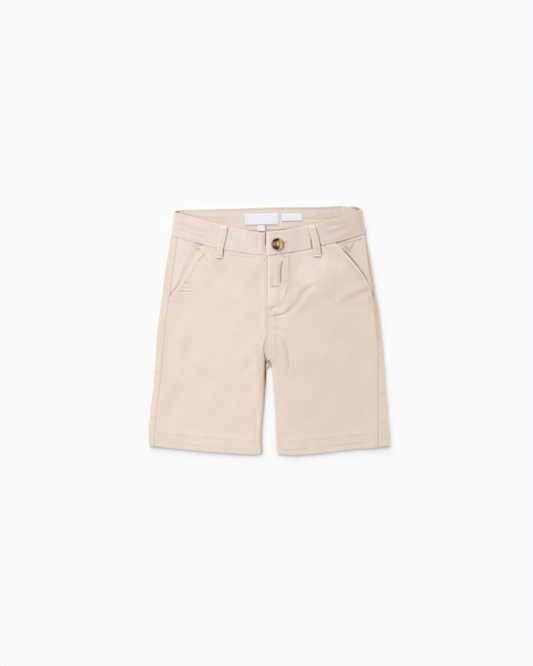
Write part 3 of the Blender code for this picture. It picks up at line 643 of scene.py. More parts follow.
def pocket_facing(half, table, material, dips_from):
    """dips_from is the share of the way to the mouth where it starts to sink under the front."""
    toward = half.toward
    u, v = np.meshgrid(steps((1.2, 0.3), (60, 0.7)), steps((74, 0.75)))
    x = np.full(u.shape, -toward * MIDDLE_OF_LEG)
    for _ in range(PASSES):
        y = (half.waist(x) - SEAM_GAP) * (1 - v) + FACING_FOOT_Y * v
        x = (seam(half, y) + toward * SEAM_GAP) * (1 - u) + (half.mouth(y) + toward * POCKET_UNDERLAY) * u
    to_seam = np.abs(x - seam(half, y))
    reach = to_seam / np.maximum(np.abs(half.mouth(y) - seam(half, y)), 1)
    below = half.waist(x) - y
    rise, shade = creased(x, y, table)
    sunk = np.maximum(ramp(reach, dips_from, 0.95), 1 - ramp(y, POCKET_FOOT_Y - 1, POCKET_FOOT_Y + 8))
    z = front_height(x, y) + rise - (CLOTH + MOUTH_CLEAR) * sunk
    z = z + seam_dip(to_seam, SIDE_DIP) + seam_dip(below, WAIST_DIP)
    shade = shade + FACING_WAIST_SHARE * waist_shade(x, below)
    shade = np.maximum(shade, SIDE_SHADE * bump(to_seam, SEAM_LINE))
    shade = np.maximum(shade, MOUTH_SHADE * ramp((x - half.mouth(y)) * toward, 0, MOUTH_SHADE_REACH))
    node = "pocket_facing_" + half.name
    piece = cloth(node, x, y, z, CLOTH, shade, material, toward=toward)


twill = washed_twill("facing_right", "#ECDED2", "#EADDCF", "#A88E77")
pocket_facing(RIGHT, RIGHT_FACING_CREASES, twill, dips_from=0.5)
twill = washed_twill("facing_left", "#EBDCCF", "#E8DACB", "#947C64")
pocket_facing(LEFT, LEFT_FACING_CREASES, twill, dips_from=0.12)

# ---------------------------------------------------------------- front panels
# Each front is one piece of twill from the waist to the hem. The wearer's left one laps over the right at
# the fly, with its facing and zip inside, and its pocket mouth gapes. The rise is felled and stitched
# twice, and the fly's curve, the pocket mouths and the hems are topstitched.
FLY_EDGE_X = -3.0
FLY_UNDER_X = 1.5
FLY_LAP = CLOTH + LAP_CLEAR
FLY_FACING_X = 26.0
FLY_FACING_RISE = 0.8
FLY_SINK = 0.35  # how far the right front is pressed down under the lap
LAP_SHADE = 0.16
# painted highlight with wear along the lap's folded edge
LAP_RUB_HIGHLIGHT = 0.36
LAP_RIDGE = 0.3
CREASE_X = -5.6  # of the crease that runs down beside the rise to the crotch
DUSK = 0.34  # the soft shade round the crotch
DUSK_REACH = 8.0
POCKET_GAPE = 2.6
MOUTH_STITCH_IN = 5.8
MOUTH_RIDGE = 0.25
MOUTH_FURROW = 0.1
MOUTH_CRISP_DROP = 0.45
MOUTH_SOFT_DROP = 0.3
# painted highlight with wear on the pocket mouth's edge and on the ridge below the waist seam
MOUTH_RUB_HIGHLIGHT = 0.2
WAIST_RUB_HIGHLIGHT = 0.3
WAIST_PUCKER = 0.16
HEM_FURROW = 0.12
HEM_ROPE = 0.14
HEM_PUCKER = 0.12
HEM_ROPE_SHADE = 0.04
HEM_LINE_SHADE = 0.04
HEM_LINE_SHADE_LEFT = 0.06
# painted highlight with wear along the hems' folded bottom edges
HEM_RUB_HIGHLIGHT = 0.9
EDGE_DROP = 0.5  # of a folded edge
RUB_HIGHLIGHT_SHARE = 0.4  # how much of a table's lightening for wear and painted highlight the fronts show
# At each y: the right front's inner edge and the width of its roll, and the left front's inner edge.
right_inner, right_roll, left_inner = curves(
    (145, 1.5, 2.6, -3), (40, 1.5, 2.6, -3), (-30, 1.5, 2.6, -3), (-38, 1.3, 2.6, -2.8),
    (-41, 0.4, 2.8, -1.4), (-43.5, -2.2, 3, 0), (-46.5, -5, 3.4, 1.5), (-50, -5.6, 4, 2.8),
    (-53, -5.7, 4.6, 3.3), (-57.5, -5.6, 5, 3.5), (-61, -5.5, 5.2, 3.9), (-72, -5.6, 5.4, 4.9),
    (-86, -6.6, 5.2, 6), (-101, -7.6, 4.8, 6.9), (-130, -10.1, 4.2, 8.6), (-158, -11.9, 3.8, 9.2),
    (-178, -10.4, 3.6, 10.4),
)
RIGHT_CREASES = creases(
    # the waist seam's allowance, pressed down below the band
    (0.8, 0.3, 0.3, -112, 123.2, -106, 121.6, -101, 120.4),
    (0.8, 0.2, 0.22, -66, 110.6, -40, 106.6, -20, 105, -5, 104.6),
    (12, 0, 0.05, -22, 104, -27, 62, -24, 18),
    # small crossing creases where the pocket's top is caught in the seam
    (0.8, 0.3, 0.9, -107.4, 120, -104.6, 118.4, -101.2, 118.4),
    (1.1, 0.4, 0.26, -103, 118, -97, 110, -90, 101, -85, 95),
    (1.1, 0.4, 0.26, -88, 115, -94, 108.6, -100, 103, -105, 98),
    (1.3, 0.3, 0.16, -84, 113, -80.4, 101, -77, 88),
    (1.3, -0.4, -0.55, -92.6, 116, -88, 108, -83, 98),
    (1.2, -0.4, -0.55, -97.6, 113, -100, 107, -104.6, 101),
    # the flat pocket mouth and its bag's foot
    (2.4, -0.18, -0.14, -101.6, 116, -108.4, 104, -115.6, 92, -123, 79, -128, 69),
    (2, 0.12, 0.05, -112, 110, -110.4, 104, -113, 99),
    (2.2, -0.15, -0.12, -108, 93, -113, 86, -114, 78),
    (1.2, 0.4, 0.4, -123.6, 72, -121.5, 69.4, -117.6, 67.6),
    (1, 0.22, 0.14, -133, 61, -124, 60.8, -114, 60.8),
    (1.2, 0.24, 0.16, -134.6, 56.2, -124, 55.6, -111, 56),
    (1.2, -0.15, -0.15, -134, 58.8, -124, 58.2, -113, 58.4),
    (1.4, 0.22, 0.14, -145, 50.2, -138, 48, -129, 48.4),
    # beside the fly and the rise
    (0.9, 0.35, 0.55, -4.4, 106.8, -6.2, 104, -7.6, 100.6, -8.2, 97),
    (0.8, 0.18, 0.14, -6.7, 101, -6.7, 76, -6.4, 45, -5.8, 22),
    (0.8, -0.12, -0.12, -9.2, 92, -9.2, 60, -8.8, 24),
    (1.3, 0.6, 0.8, -6.2, -10, -7.6, -20, -8.2, -28, -7.6, -34.6, -6.8, -39, -6.1, -43, -6, -54),
    (0.9, 0.3, 1.6, -7.8, -31, -7.2, -36.4, -6.3, -40.8, -6, -46, -6, -54),
    # the shadow beside the belt loop
    (0.8, 0.3, 1.6, -66.4, 118.4, -66.9, 112.6, -67.9, 105.4),
    (1.4, -0.25, -0.22, -11, -16, -12.4, -28, -11.6, -40),
    (2.4, 0.35, 0.08, -20, -40, -15, -52, -15, -70),
    # the felled inseam near the hem, and the hem's own ropes
    (0.9, -0.3, -0.35, -14.6, -110, -16.4, -134, -17.4, -156, -16.4, -172),
    (0.8, 0.25, 0.16, -19, -128, -20.2, -150, -19, -170),
    (1.1, 0.18, 0.12, -146, -163.4, -100, -168.2, -50, -172.6, -22, -174.4),
    (0.9, 0.4, 0.6, -164, -168.4, -162, -168.4, -159, -168.8),
)
LEFT_CREASES = creases(
    # the fly facing's edge, which curves in to the lap, with a ridge on each side, worn light and with a
    # painted highlight
    (1.4, 0.6, 1, 21.6, 103, 18.4, 99, 16.8, 92, 16.1, 80, 15.8, 70, 14.9, 64.6),
    (1.1, 0.4, 0.62, 16.4, 66, 13.4, 63.6, 7.7, 62.9, 0, 62.6),
    (1.4, 0.1, 0.3, 16.8, 86, 16.6, 78, 16.2, 69),
    (1.5, -0.15, -0.05, 23.6, 98.6, 20.6, 93, 19.4, 80, 18.8, 66),
    (9, 0, 0.12, 24, 100, 25, 82, 24, 64),
    # stitches that show beside the rise's edge
    (0.7, 0.2, 0.45, 1.2, 70.8, 2.6, 70.4, 4, 70.8),
    (0.7, 0.15, 0.3, 8, 70.4, 9.6, 70.2, 11, 70.6),
    (3.2, 0.1, 0.26, 13.2, 102, 12.8, 84, 11.6, 62),
    (3, 0.1, 0.22, 3, 80, 2.6, 70, 3, 61),
    (1, -0.25, -0.35, 12.4, 60.2, 6, 60, 0.6, 60),
    (2.2, 0.3, 0.28, 15.4, 107.6, 20, 106.2, 25.6, 104.4),
    (0.8, 0.3, 0.34, 27.6, 111, 27.5, 98, 27, 82),
    (0.8, 0.25, 0.26, 22.6, 98, 23.2, 88, 25.4, 77),
    (1.2, -0.15, -0.1, 25.2, 100, 25.2, 88, 24.2, 72),
    (1.8, -0.15, -0.45, 29.8, 60, 28.6, 53, 26.4, 46),
    (0.9, 0.45, 0.66, 25.4, 63, 24.8, 57, 23.6, 50),
    (1, -0.35, -0.45, 22, 62, 21.4, 54, 19.4, 46),
    (2.4, 0.3, 0.14, 12.4, 58, 12.8, 48, 13, 38),
    (4.4, -0.3, -0.9, 3.6, 62, 4.8, 48, 6.4, 34.6),
    (3, -0.15, -0.4, 17.6, 58, 18, 48, 17.4, 40),
    # the fly's foot
    (0.8, 0.5, 0.8, -3, 32.6, 3, 33.4, 9.4, 34.8),
    (0.7, 0.3, 0.6, 10.4, 37.4, 12, 37.8, 13.8, 38.2),
    (0.7, 0.25, 0.45, 12.2, 31.5, 13.6, 31.9, 15.2, 32.3),
    (3.4, -0.6, -0.95, 3, 28.4, 12, 28.2, 20, 30.4, 26.4, 36),
    (5.5, 0.14, 0.14, 62, 72, 56, 64, 50, 56, 44, 49),
    (3.8, 0.32, 0.27, 53, 59, 42.8, 47, 37.6, 40.6, 31.6, 34, 26, 27.6, 21, 23.4),
    (1.2, 0.45, 0.5, 31, 33.4, 26.4, 28.2, 21.4, 24.6, 14, 22.4, 6, 21.2, -1, 20.8),
    (3.4, -0.1, -0.2, 60, 54, 48, 40, 36, 26, 28, 20),
    # worn light and painted with a highlight where the hip lies highest
    (13, 0, -0.85, 88, 108, 73, 97, 58, 82, 45, 64),
    (14, 0, -0.35, 78, 100, 95, 98, 112, 92),
    (3.2, 0.6, 0.14, 68, 68, 49.7, 55.7, 38, 45),
    (3.6, 0.22, 0.06, 46, 102, 40, 90, 32, 74),
    (3.6, -0.16, -0.1, 54, 98, 47, 84, 38, 68),
    # round the gaping pocket
    (0.9, 0.35, 0.3, 79, 122.4, 82.4, 119, 85.6, 115),
    (0.9, 0.3, 1.3, 73.6, 121.4, 74.3, 118.4, 75, 112.6, 75.2, 107),
    (1, -0.25, -0.35, 76, 119.4, 79.6, 115.4, 83, 111),
    (4.4, 0.6, 0.16, 152, 62.5, 131, 55.7, 116.4, 48.4, 99, 41.4),
    (5, -0.4, -0.22, 146, 46, 130, 43, 116, 37),
    (1.2, 0.3, 0.3, 143.2, 50, 145.6, 45, 147, 38),
    # down the inside of the leg from the crotch
    (2.4, 0.5, 0.14, 13, -8, 20.7, -21.2, 25.1, -31.3, 27.6, -48, 28, -64),
    (3.4, 0.3, 0.08, 25.5, -30, 26, -50, 25.4, -72),
    (2.6, 0.25, 0.08, 3, 3, 12, 1.6, 22, -0.6),
    # the tack at the crotch, the hem's ropes and its end at the side seam
    (0.9, 0.25, 0.28, 12, -172.2, 26, -172.9, 42, -172.4, 60, -170.6),
    (1, 0.2, 0.14, 70, -169.6, 110, -165.6, 150, -161),
    (0.9, 0.4, 0.6, 150, -168.6, 154, -168.2, 157.2, -167.8),
)
FRONT_COLUMNS = steps((1.2, 0.3), (9, 0.75), (60, 1.25), (120, 1.1), (150, 0.75))
FRONT_ROWS = steps(
    (1.2, 0.3), (12, 0.75), (90, 0.9), (120, 1.15), (168, 0.95), (262, 1.55), (286, 0.9), (288, 0.4)
)
FRONT_ROLL = np.linspace(0, math.pi / 2, 9)[1:]
RISE_STITCH = 2.4
RISE_FURROW = 0.1
RISE_SHADE = 0.11
RISE_STITCH_TOP = 34.0
RISE_STITCH_FOOT = -38.0
RIGHT_RISE_ROWS = (-6.1,)
LEFT_RISE_ROWS = (-0.3, 2.6)


def left_roll(y):
    """The left front's inner edge has a roll of the same width all the way down."""
    return INSEAM_ROLL + 0 * y


def side(half, y):
    """The x of a front's outer edge: the side seam, and above its foot the pocket mouth."""
    edge = half.toward * seam(half, y) + SEAM_GAP
    return half.toward * np.maximum(edge, half.toward * half.mouth(y))


def rise_furrows(x, y, rows):
    """The furrows that the rise's rows of stitching press into the cloth."""
    total = np.zeros(x.shape)
    for row in rows:
        off = np.abs(x - row)
        turn = 2 * math.pi * y / RISE_STITCH
        line = bump(off, 0.8) * (1 + 0.25 * np.sin(turn))
        line = line - 3 * (1 + 0.5 * np.sin(turn + 1.5)) * bump(off - 1.5, 0.5)
        inside = ramp(y, RISE_STITCH_FOOT - 4, RISE_STITCH_FOOT) * (1 - ramp(y, 24, 32))
        total = np.where(np.abs(line) > np.abs(total), line, total) * inside
    return -RISE_FURROW * total, RISE_SHADE * total


def fly_lap_and_gape(x, y):
    """The left front lies over the right one and over its own fly facing, and its pocket's edge lifts."""
    lap = 1 - ramp(x, FLY_UNDER_X + 0.5, FLY_UNDER_X + 12)
    facing = (1 - ramp(x, FLY_FACING_X, FLY_FACING_X + 6)) * ramp(y, FLY_FOOT_Y - 8, FLY_FOOT_Y)
    above_crotch = ramp(y, CROTCH_FOOT, CROTCH_TOP + 8)
    fly = above_crotch * np.maximum(FLY_LAP * lap, FLY_FACING_RISE * facing)
    along = ramp(y, 52, 84) * (1 - ramp(y, 100, 124))
    return fly + POCKET_GAPE * along * bump(np.maximum(LEFT.mouth(y) - x, 0), 11)


def front_detail(x, y, half, table, seed, crisp):
    """Creases, seams and stitched lines of one front: their height and shade.

    crisp is how much of its full ridge, wear and painted highlight the pocket mouth's folded edge shows.
    """
    rise, shade = creased(x, y, table)
    shade = np.maximum(shade, 0) + RUB_HIGHLIGHT_SHARE * np.minimum(shade, 0)
    to_side = np.abs(x - side(half, y))
    at_mouth = ramp(y, 52, 62)
    rise = rise + seam_dip(to_side, SIDE_DIP) * (1 - at_mouth)
    shade = deepened(shade, SIDE_SHADE * (1 - at_mouth) * bump(to_side, SEAM_LINE))
    # the pocket mouth's folded edge, and the furrow of its topstitching
    in_mouth = (x - half.mouth(y)) * half.toward
    rolled = MOUTH_CRISP_DROP * crisp * bump(in_mouth, 0.6)
    rolled = rolled + MOUTH_SOFT_DROP * (1 - crisp) * bump(in_mouth, 2.6)
    rise = rise + at_mouth * (MOUTH_RIDGE * crisp * bump(in_mouth - 2.2, 1.8) - rolled)
    furrow = bump(in_mouth - MOUTH_STITCH_IN, 0.8) * at_mouth
    rise = rise - MOUTH_FURROW * crisp * furrow * (1 + 0.6 * wander(y, 6, seed))
    # painted highlight with wear on the mouth's folded edge
    shade = shade - MOUTH_RUB_HIGHLIGHT * crisp * at_mouth * bump(in_mouth - 1.2, 1.3)
    # puckers below the waist seam, and the ridge beside it on the left, worn light and with a painted
    # highlight
    below = half.waist(x) - SEAM_GAP - y
    rise = rise + seam_dip(below, WAIST_DIP) + WAIST_PUCKER * wander(x, 11, seed + 1) * bump(below, 7)
    shade = shade + waist_shade(x, below) - WAIST_RUB_HIGHLIGHT * ramp(x, -10, 40) * bump(below - 2.6, 1)
    # the hem: its stitched line, and the slanting ropes that the turned cloth draws below it
    up = above_hem(x, y)
    line = bump(up - HEM_STITCH_UP, 0.9) * (0.75 + 0.5 * wander(x, 23, seed + 3))
    rope = wander(x * 0.8 + up * 0.5, 8, seed + 2) * bump(up - 12, 8)
    pucker = wander(x + up, 5, seed + 5) * bump(up - 20, 4)
    rise = rise - HEM_FURROW * line + HEM_ROPE * rope + HEM_PUCKER * pucker
    rise = rise - EDGE_DROP * bump(np.maximum(up, 0), 0.7)
    shade = shade + (HEM_LINE_SHADE + HEM_LINE_SHADE_LEFT * ramp(x, 0, 60)) * line - HEM_ROPE_SHADE * rope
    # painted highlight with wear along the hem's folded bottom edge
    return rise, shade - HEM_RUB_HIGHLIGHT * bump(np.maximum(up, 0), 1)


def right_front_surface(x, y):
    rise, shade = front_detail(x, y, RIGHT, RIGHT_CREASES, seed=3, crisp=0.2)
    level, parting = inseam_level(y)
    rows, marks = rise_furrows(x, y, RIGHT_RISE_ROWS)
    # the shadow beside the lap, and the inner edge, which turns down into the dark at the crotch
    to_lap = bump(x - FLY_EDGE_X + 0.9, 0.9) * ramp(y, -46, -40)
    to_edge = np.minimum(right_inner(y), CREASE_X) - x
    turned = (1 - ramp(y, -45, -38)) * (0.5 + 1.1 * ramp(y, -86, -64))
    turned = turned * bump(to_edge, 2.3 - 0.6 * ramp(y, -64, -52))
    dusk = (1 - ramp(y, -44, -16)) * ramp(y, -114, -70) * (to_edge > 0) * bump(to_edge, DUSK_REACH)
    seams = np.maximum(LAP_SHADE * (1 + ramp(y, 20, 60)) * to_lap, turned)
    sink = FLY_SINK * ramp(x, FLY_EDGE_X - 0.8, FLY_EDGE_X + 0.8) * ramp(y, -46, -40)
    high = front_height(x, y) - sink + rise
    roll = roll_share(np.abs(right_inner(y) - x), right_roll(y), y)
    return high + rows - (high - level - parting) * roll, deepened(shade + marks, seams) + DUSK * dusk


def left_front_surface(x, y):
    rise, shade = front_detail(x, y, LEFT, LEFT_CREASES, seed=23, crisp=1.0)
    level, parting = inseam_level(y)
    rows, marks = rise_furrows(x, y, LEFT_RISE_ROWS)
    # the lap's folded edge and the felled rise below it
    from_edge = x - left_inner(y)
    above = ramp(y, -44, -38)
    edge = LAP_RIDGE * bump(from_edge - 1.6, 1.3) - EDGE_DROP * bump(from_edge, 0.6)
    lifted = front_height(x, y) + fly_lap_and_gape(x, y) + rise + rows + edge * above
    # painted highlight with wear along the lap's folded edge
    worn_and_highlit = LAP_RUB_HIGHLIGHT * (0.4 + 0.6 * ramp(y, 26, 36)) * above * bump(from_edge - 1.9, 1.3)
    roll = roll_share(np.abs(from_edge), left_roll(y), y)
    return lifted - (lifted - level - parting) * roll, shade + marks - worn_and_highlit


def front_panel(half, inner, roll, surface, material):
    toward = half.toward
    v = np.tile(FRONT_ROWS[:, None], (1, len(FRONT_COLUMNS) + len(FRONT_ROLL)))
    x = np.full(v.shape, -toward * MIDDLE_OF_LEG)
    for _ in range(PASSES):
        y = (half.waist(x) - SEAM_GAP) * (1 - v) + half.hem(x) * v
        main, rolled = np.split(y, [len(FRONT_COLUMNS)], axis=1)
        begin = inner(main) - toward * roll(main)
        across = side(half, main) * (1 - FRONT_COLUMNS) + begin * FRONT_COLUMNS
        over = inner(rolled) - toward * roll(rolled) * (1 - np.sin(FRONT_ROLL))
        x = np.concatenate([across, over], axis=1)
    z, shade = surface(x, y)
    piece = cloth("front_" + half.name, x, y, z, HEM_WALL, shade, material, hemmed(x, y), toward)


twill = washed_twill("front_right", "#E8D9CC", "#E7D9C8", "#A88E77")
front_panel(RIGHT, right_inner, right_roll, right_front_surface, twill)
twill = washed_twill("front_left", "#E8D9CC", "#E7D9C8", "#A08770")
front_panel(LEFT, left_inner, left_roll, left_front_surface, twill)

# ---------------------------------------------------------------- waistband
# One strip of twill, folded to two layers, is sewn round the waist: its right end lies under the fly's
# lap. Its inside shows over the back, edge-stitched along the top and gathered by a hidden elastic.
BAND_WALL = 2.0
BAND_DEPTH = 34.2
BAND_PROUD = 0.45
BAND_LAP = BAND_WALL + LAP_CLEAR
BAND_SINK = 0.8
BAND_UNDER_END = 25.0
BAND_EDGE_DROP = 0.7
BAND_FOOT_DROP = 0.3
LAP_EDGE_X = -4.7
# painted highlight with wear along the lap end's folded edge
BAND_LAP_RUB_HIGHLIGHT = 0.6
BAND_LEFT_SHADE = 0.1
BAND_INSIDE_SHADE = 0.04
BAND_SIDE_TOP = 172.0
BAND_SIDE_FOOT = 137.0
GATHER_FIRST_X = 71.5
GATHER_PITCH = 3.15
GATHER_COUNT = 8
GATHER_HEIGHT = 0.45
GATHER_SHADE = 0.34
TOP_STITCH_IN = 3.3
TOP_STITCH_PITCH = 3.6
TOP_STITCH_SINK = 0.22
TOP_STITCH_SHADE = 0.2
TOP_STITCH_SHADE_LEFT = 0.18
TOP_PUCKER = 0.1
BAND_LEVEL = steps((1.2, 0.25), (33, 0.95), (34.2, 0.3))[:, None]
BAND_TURN = np.linspace(math.pi / 2, -math.pi / 2, 16)[1:-1]
RIGHT_BAND_CREASES = creases(
    (2.8, 0.18, 0.11, -139, 156, -126.5, 153.2, -112, 147.8, -100, 144.2, -84, 140.6),
    (2.8, -0.12, -0.1, -140, 161.6, -124, 158.2, -106, 152.6, -88, 148.6),
    (2.4, 0.15, 0.07, -136, 146.6, -120, 143, -104, 136.6, -88, 132.2),
    (2, -0.15, -0.12, -132, 141.2, -112, 135.2, -92, 128.2),
    (1.4, 0.12, 0.08, -84, 155.6, -82.6, 146.6, -80.4, 137.6),
    (3, 0.18, 0.05, -60, 138, -48, 128, -42, 118),
    (2, -0.16, -0.1, -38, 144, -36, 132, -35, 116),
    (2.2, 0.2, 0.1, -19, 141, -17.6, 128, -17, 112),
    (1.6, -0.18, -0.14, -13.6, 140.6, -13, 126, -12.6, 113),
    # the painted shadow in the hollow under the lap's edge, and the under end's rolled top
    (2.2, 0.3, 0.22, -8.2, 148, -8.8, 130, -8.8, 108),
    (0.9, 0.8, 2, -5, 150, -5.6, 142, -6.1, 134, -6.3, 127, -6.2, 120),
    (0.8, 0.3, 0.55, -6.6, 126, -6.3, 117, -6, 110),
    (0.8, -0.2, -0.6, -20, 140, -13, 139.5, -7, 139.8),
    (0.8, 0.15, 0.3, -20, 109.8, -13, 109.3, -7, 109.6),
    # the shadow beside the belt loop
    (0.8, 0.3, 0.7, -59.4, 151.6, -62.2, 141.6, -65, 130.6, -67.2, 119.6, -68, 111.6),
    (0.7, 0.3, 1.7, -65.6, 129, -67.2, 119.6, -68.2, 111),
)
LEFT_BAND_CREASES = creases(
    (1.1, 0.25, 0.24, 24.6, 143, 24.4, 137, 24, 131),
    (2.8, 0.12, 0.04, 40, 146, 43, 134, 42, 116),
    (1.2, -0.25, -0.6, 50, 149.6, 53.6, 150.2, 57, 149),
    (3, 0.18, 0.11, 78, 150, 91, 152.6, 104, 154, 118, 160),
    (2.8, 0.15, 0.1, 78, 142, 92, 143.6, 106, 149, 120, 152),
    (2.4, -0.1, -0.15, 80, 146.4, 92, 148.4, 106, 152),
    (2.6, -0.25, -0.12, 76, 130, 90, 134, 106, 140, 120, 146),
    (1.5, 0.35, 0.26, 130.6, 172, 132.2, 160, 133.6, 148, 134.4, 138),
    # the slit of the buttonhole, and stitches that were pulled tight above it
    (0.6, 0.25, 0.8, 16, 126.6, 22, 127.4, 26.4, 128),
    (0.9, 0.15, 0.26, 4, 139, 12, 139.2, 20, 140.2),
    # the shadows beside the belt loop
    (0.8, 0.3, 0.8, 65, 152.6, 68.4, 143.6, 71.2, 134, 73, 124, 74.4, 116),
    (0.8, 0.4, 1.4, 72.6, 129, 74, 120, 74.8, 114),
    (0.7, 0.25, 0.6, 57.2, 142, 58.4, 136, 59.4, 130),
    (0.9, 0.35, 1.4, 58.6, 134, 60.2, 126, 61, 119, 61.2, 114),
)
BACK_BAND_CREASES = creases(
    (1.8, 0.26, 0.18, -124, 165, -104, 163.2, -82, 162, -52, 163.2),
    (1.6, -0.12, 0, -118, 168.2, -96, 167, -70, 166.6),
    (4, 0.08, 0.16, -110, 160.6, -82, 158, -50, 157.2),
    (1.8, 0.26, 0.16, 46, 163.6, 66, 161.6, 84, 162.2, 100, 164.2),
    (1.6, -0.18, -0.12, 50, 158.6, 70, 157.6, 88, 159),
    (1.2, 0.25, 0.2, 68, 173, 70, 169, 69, 164.6),
    (2, -0.4, -0.5, 104, 177, 112, 177.8, 119, 177),
    (1.5, 0.25, 0.16, 100, 176.6, 101.6, 171, 102, 166),
    (1.6, 0.6, 0.7, 121, 177.4, 124.6, 176.6, 128.4, 174),
    (1.2, 0.4, 0.45, 124, 173.2, 128, 171.6, 131.6, 171),
    (1.2, 0.5, 1.2, -137.4, 172.6, -134.4, 171.6, -129.8, 170.8),
    (1.2, 0.25, 0.4, -130.4, 171.2, -122, 167.6, -112, 164.6),
    (0.9, 0.4, 0.9, -5.8, 153.6, -4.8, 148, -4, 143),
    (1, 0.25, 0.7, -18, 142.6, -11, 142.2, -4.6, 142.8),
    (2, 0.2, 0.22, -70, 151.6, -48, 147.2, -28, 144),
    (2, 0.15, 0.18, 2, 145, 26, 147.2, 48, 151),
    (2, 0.15, 0.16, 60, 154.6, 84, 160.6, 104, 166.6),
)


def band_edges(band, x, level):
    """Y at a share of the way down the band."""
    top, bottom = band
    return top(x) * (1 - level) + bottom(x) * level


def band_turn(half, band, fold, height):
    """The band where it turns round a side fold, from the front (first column) to the back."""
    bow = height / 2
    x = fold + half.toward * bow * (1 - np.cos(BAND_TURN))
    high = (1 + np.sin(BAND_TURN)) / 2
    y = band_edges(band, x, BAND_LEVEL) * high + band_edges(back_band, x, BAND_LEVEL) * (1 - high)
    return x, y, bow * (1 + np.sin(BAND_TURN))


def right_band_surface(x, y):
    """The band's face over the right front. Past the fly its end sinks under the other one."""
    rise, shade = creased(x, y, RIGHT_BAND_CREASES)
    high = front_height(x, y) + BAND_PROUD - BAND_SINK * ramp(x, -28, -6)
    return high + rise, shade + waist_shade(x, y - RIGHT.waist(x))


def left_band_surface(x, y):
    """The band's face over the left front, lying over the other end round the button."""
    rise, shade = creased(x, y, LEFT_BAND_CREASES)
    lap = 1 - ramp(x, BAND_UNDER_END + 1, BAND_UNDER_END + 20)
    high = front_height(x, y) + BAND_PROUD + (BAND_LAP - BAND_SINK) * lap
    shade = shade + BAND_LEFT_SHADE * ramp(x, 52, 90) + waist_shade(x, y - LEFT.waist(x))
    # painted highlight with wear beside the lap end's edge
    return high + rise, shade - BAND_LAP_RUB_HIGHLIGHT * bump(x - LAP_EDGE_X - 2.4, 1.4)


def back_band_surface(x, y, level):
    """The inner face over the back, with the gathers of the elastic and a stitched top edge."""
    phase = (x - GATHER_FIRST_X) / GATHER_PITCH
    among = ramp(phase, -0.3, 0.6) * (1 - ramp(phase, GATHER_COUNT - 0.6, GATHER_COUNT + 0.3))
    among = among * (1 - ramp(level, 0.30, 0.42)) * ramp(level, 0.10, 0.16)
    rib = (1 - np.cos(2 * math.pi * phase + 0.5 * wander(x, 13, 5))) / 2 * among
    rise, shade = creased(x, y, BACK_BAND_CREASES)
    stitch = bump(level * BAND_DEPTH - TOP_STITCH_IN, 0.9)
    pucker = wander(x, 9, 6) * (1 - ramp(level, 0.2, 0.5))
    rise = rise + GATHER_HEIGHT * rib - TOP_STITCH_SINK * stitch + TOP_PUCKER * pucker
    dotted = (1 + 0.9 * np.sin(2 * math.pi * x / TOP_STITCH_PITCH)) * stitch
    shade = shade + dotted * (TOP_STITCH_SHADE + TOP_STITCH_SHADE_LEFT * ramp(x, -10, 20))
    return BAND_WALL + rise, shade + GATHER_SHADE * among * (0.5 - rib) + BAND_INSIDE_SHADE


def make_band(material):
    side_y = BAND_SIDE_TOP * (1 - BAND_LEVEL) + BAND_SIDE_FOOT * BAND_LEVEL
    right, left = RIGHT.fold(side_y), LEFT.fold(side_y)
    radius = FOLD_RADIUS + BAND_PROUD / 2
    right_in, left_in = right + radius, left - radius

    along = steps((26, 1.4), (36, 0.45), (168, 1.0))
    x_right = BAND_UNDER_END * (1 - along) + right_in * along
    y_right = band_edges(right_band, x_right, BAND_LEVEL)
    z_right, shade_right = right_band_surface(x_right, y_right)
    along = steps((131, 1.0), (135, 0.3))
    x_left = left_in * (1 - along) + LAP_EDGE_X * along
    y_left = band_edges(left_band, x_left, BAND_LEVEL)
    z_left, shade_left = left_band_surface(x_left, y_left)
    z_left = z_left - BAND_EDGE_DROP * round_off(x_left - LAP_EDGE_X, 1.1)
    x_back = right_in + (left_in - right_in) * steps((268, 0.6))
    y_back = band_edges(back_band, x_back, BAND_LEVEL)
    inner, shade_back = back_band_surface(x_back, y_back, BAND_LEVEL)

    right_turn = band_turn(RIGHT, right_band, right, z_right[:, -1:])
    left_turn = [part[:, ::-1] for part in band_turn(LEFT, left_band, left, z_left[:, :1])]
    # the outer face drops along the folded top edge and the seam, and takes the wall with it
    drop = BAND_EDGE_DROP * round_off(BAND_LEVEL * BAND_DEPTH, 1.0)
    drop = drop + BAND_FOOT_DROP * round_off((1 - BAND_LEVEL) * BAND_DEPTH, 0.9)
    # x, y, z, wall and shade of each run, from under the lap round the back to the lap's edge
    runs = (
        (x_right, y_right, z_right - drop, BAND_WALL - drop, shade_right),
        (*right_turn, BAND_WALL, 0),
        (x_back, y_back, 0, inner - drop, shade_back),
        (*left_turn, BAND_WALL, 0),
        (x_left, y_left, z_left - drop, BAND_WALL - drop, shade_left),
    )
    parts = zip(*(np.broadcast_arrays(*run) for run in runs))
    x, y, z, wall, shade = (np.concatenate(part, axis=1) for part in parts)
    thickest = float(wall.max())
    piece = cloth("waistband", x, y, z, thickest, shade, material, wall / thickest, -1)


make_band(washed_twill("waistband", "#E7DACF", "#E6D9CB", "#A08770", grain=90))

# ---------------------------------------------------------------- belt loops
# Each loop is a 10 mm strip of twill folded in three. It is caught under the band's top edge and tacked
# through below the waist seam, and bows a little in between.
LOOP_WALL = 1.2
LOOP_SLACK = 0.25
LOOP_CROWN = 0.25
LOOP_TACK = 0.93  # share of the way down
LOOP_ROWS = 0.27  # share of the width, out from the middle
LOOP_EDGE_DROP = 0.6
LOOP_END_DROP = 0.5
LOOP_TACK_SINK = 0.3
LOOP_ROW_SINK = 0.12
LOOP_STITCH_SHADE = 0.1
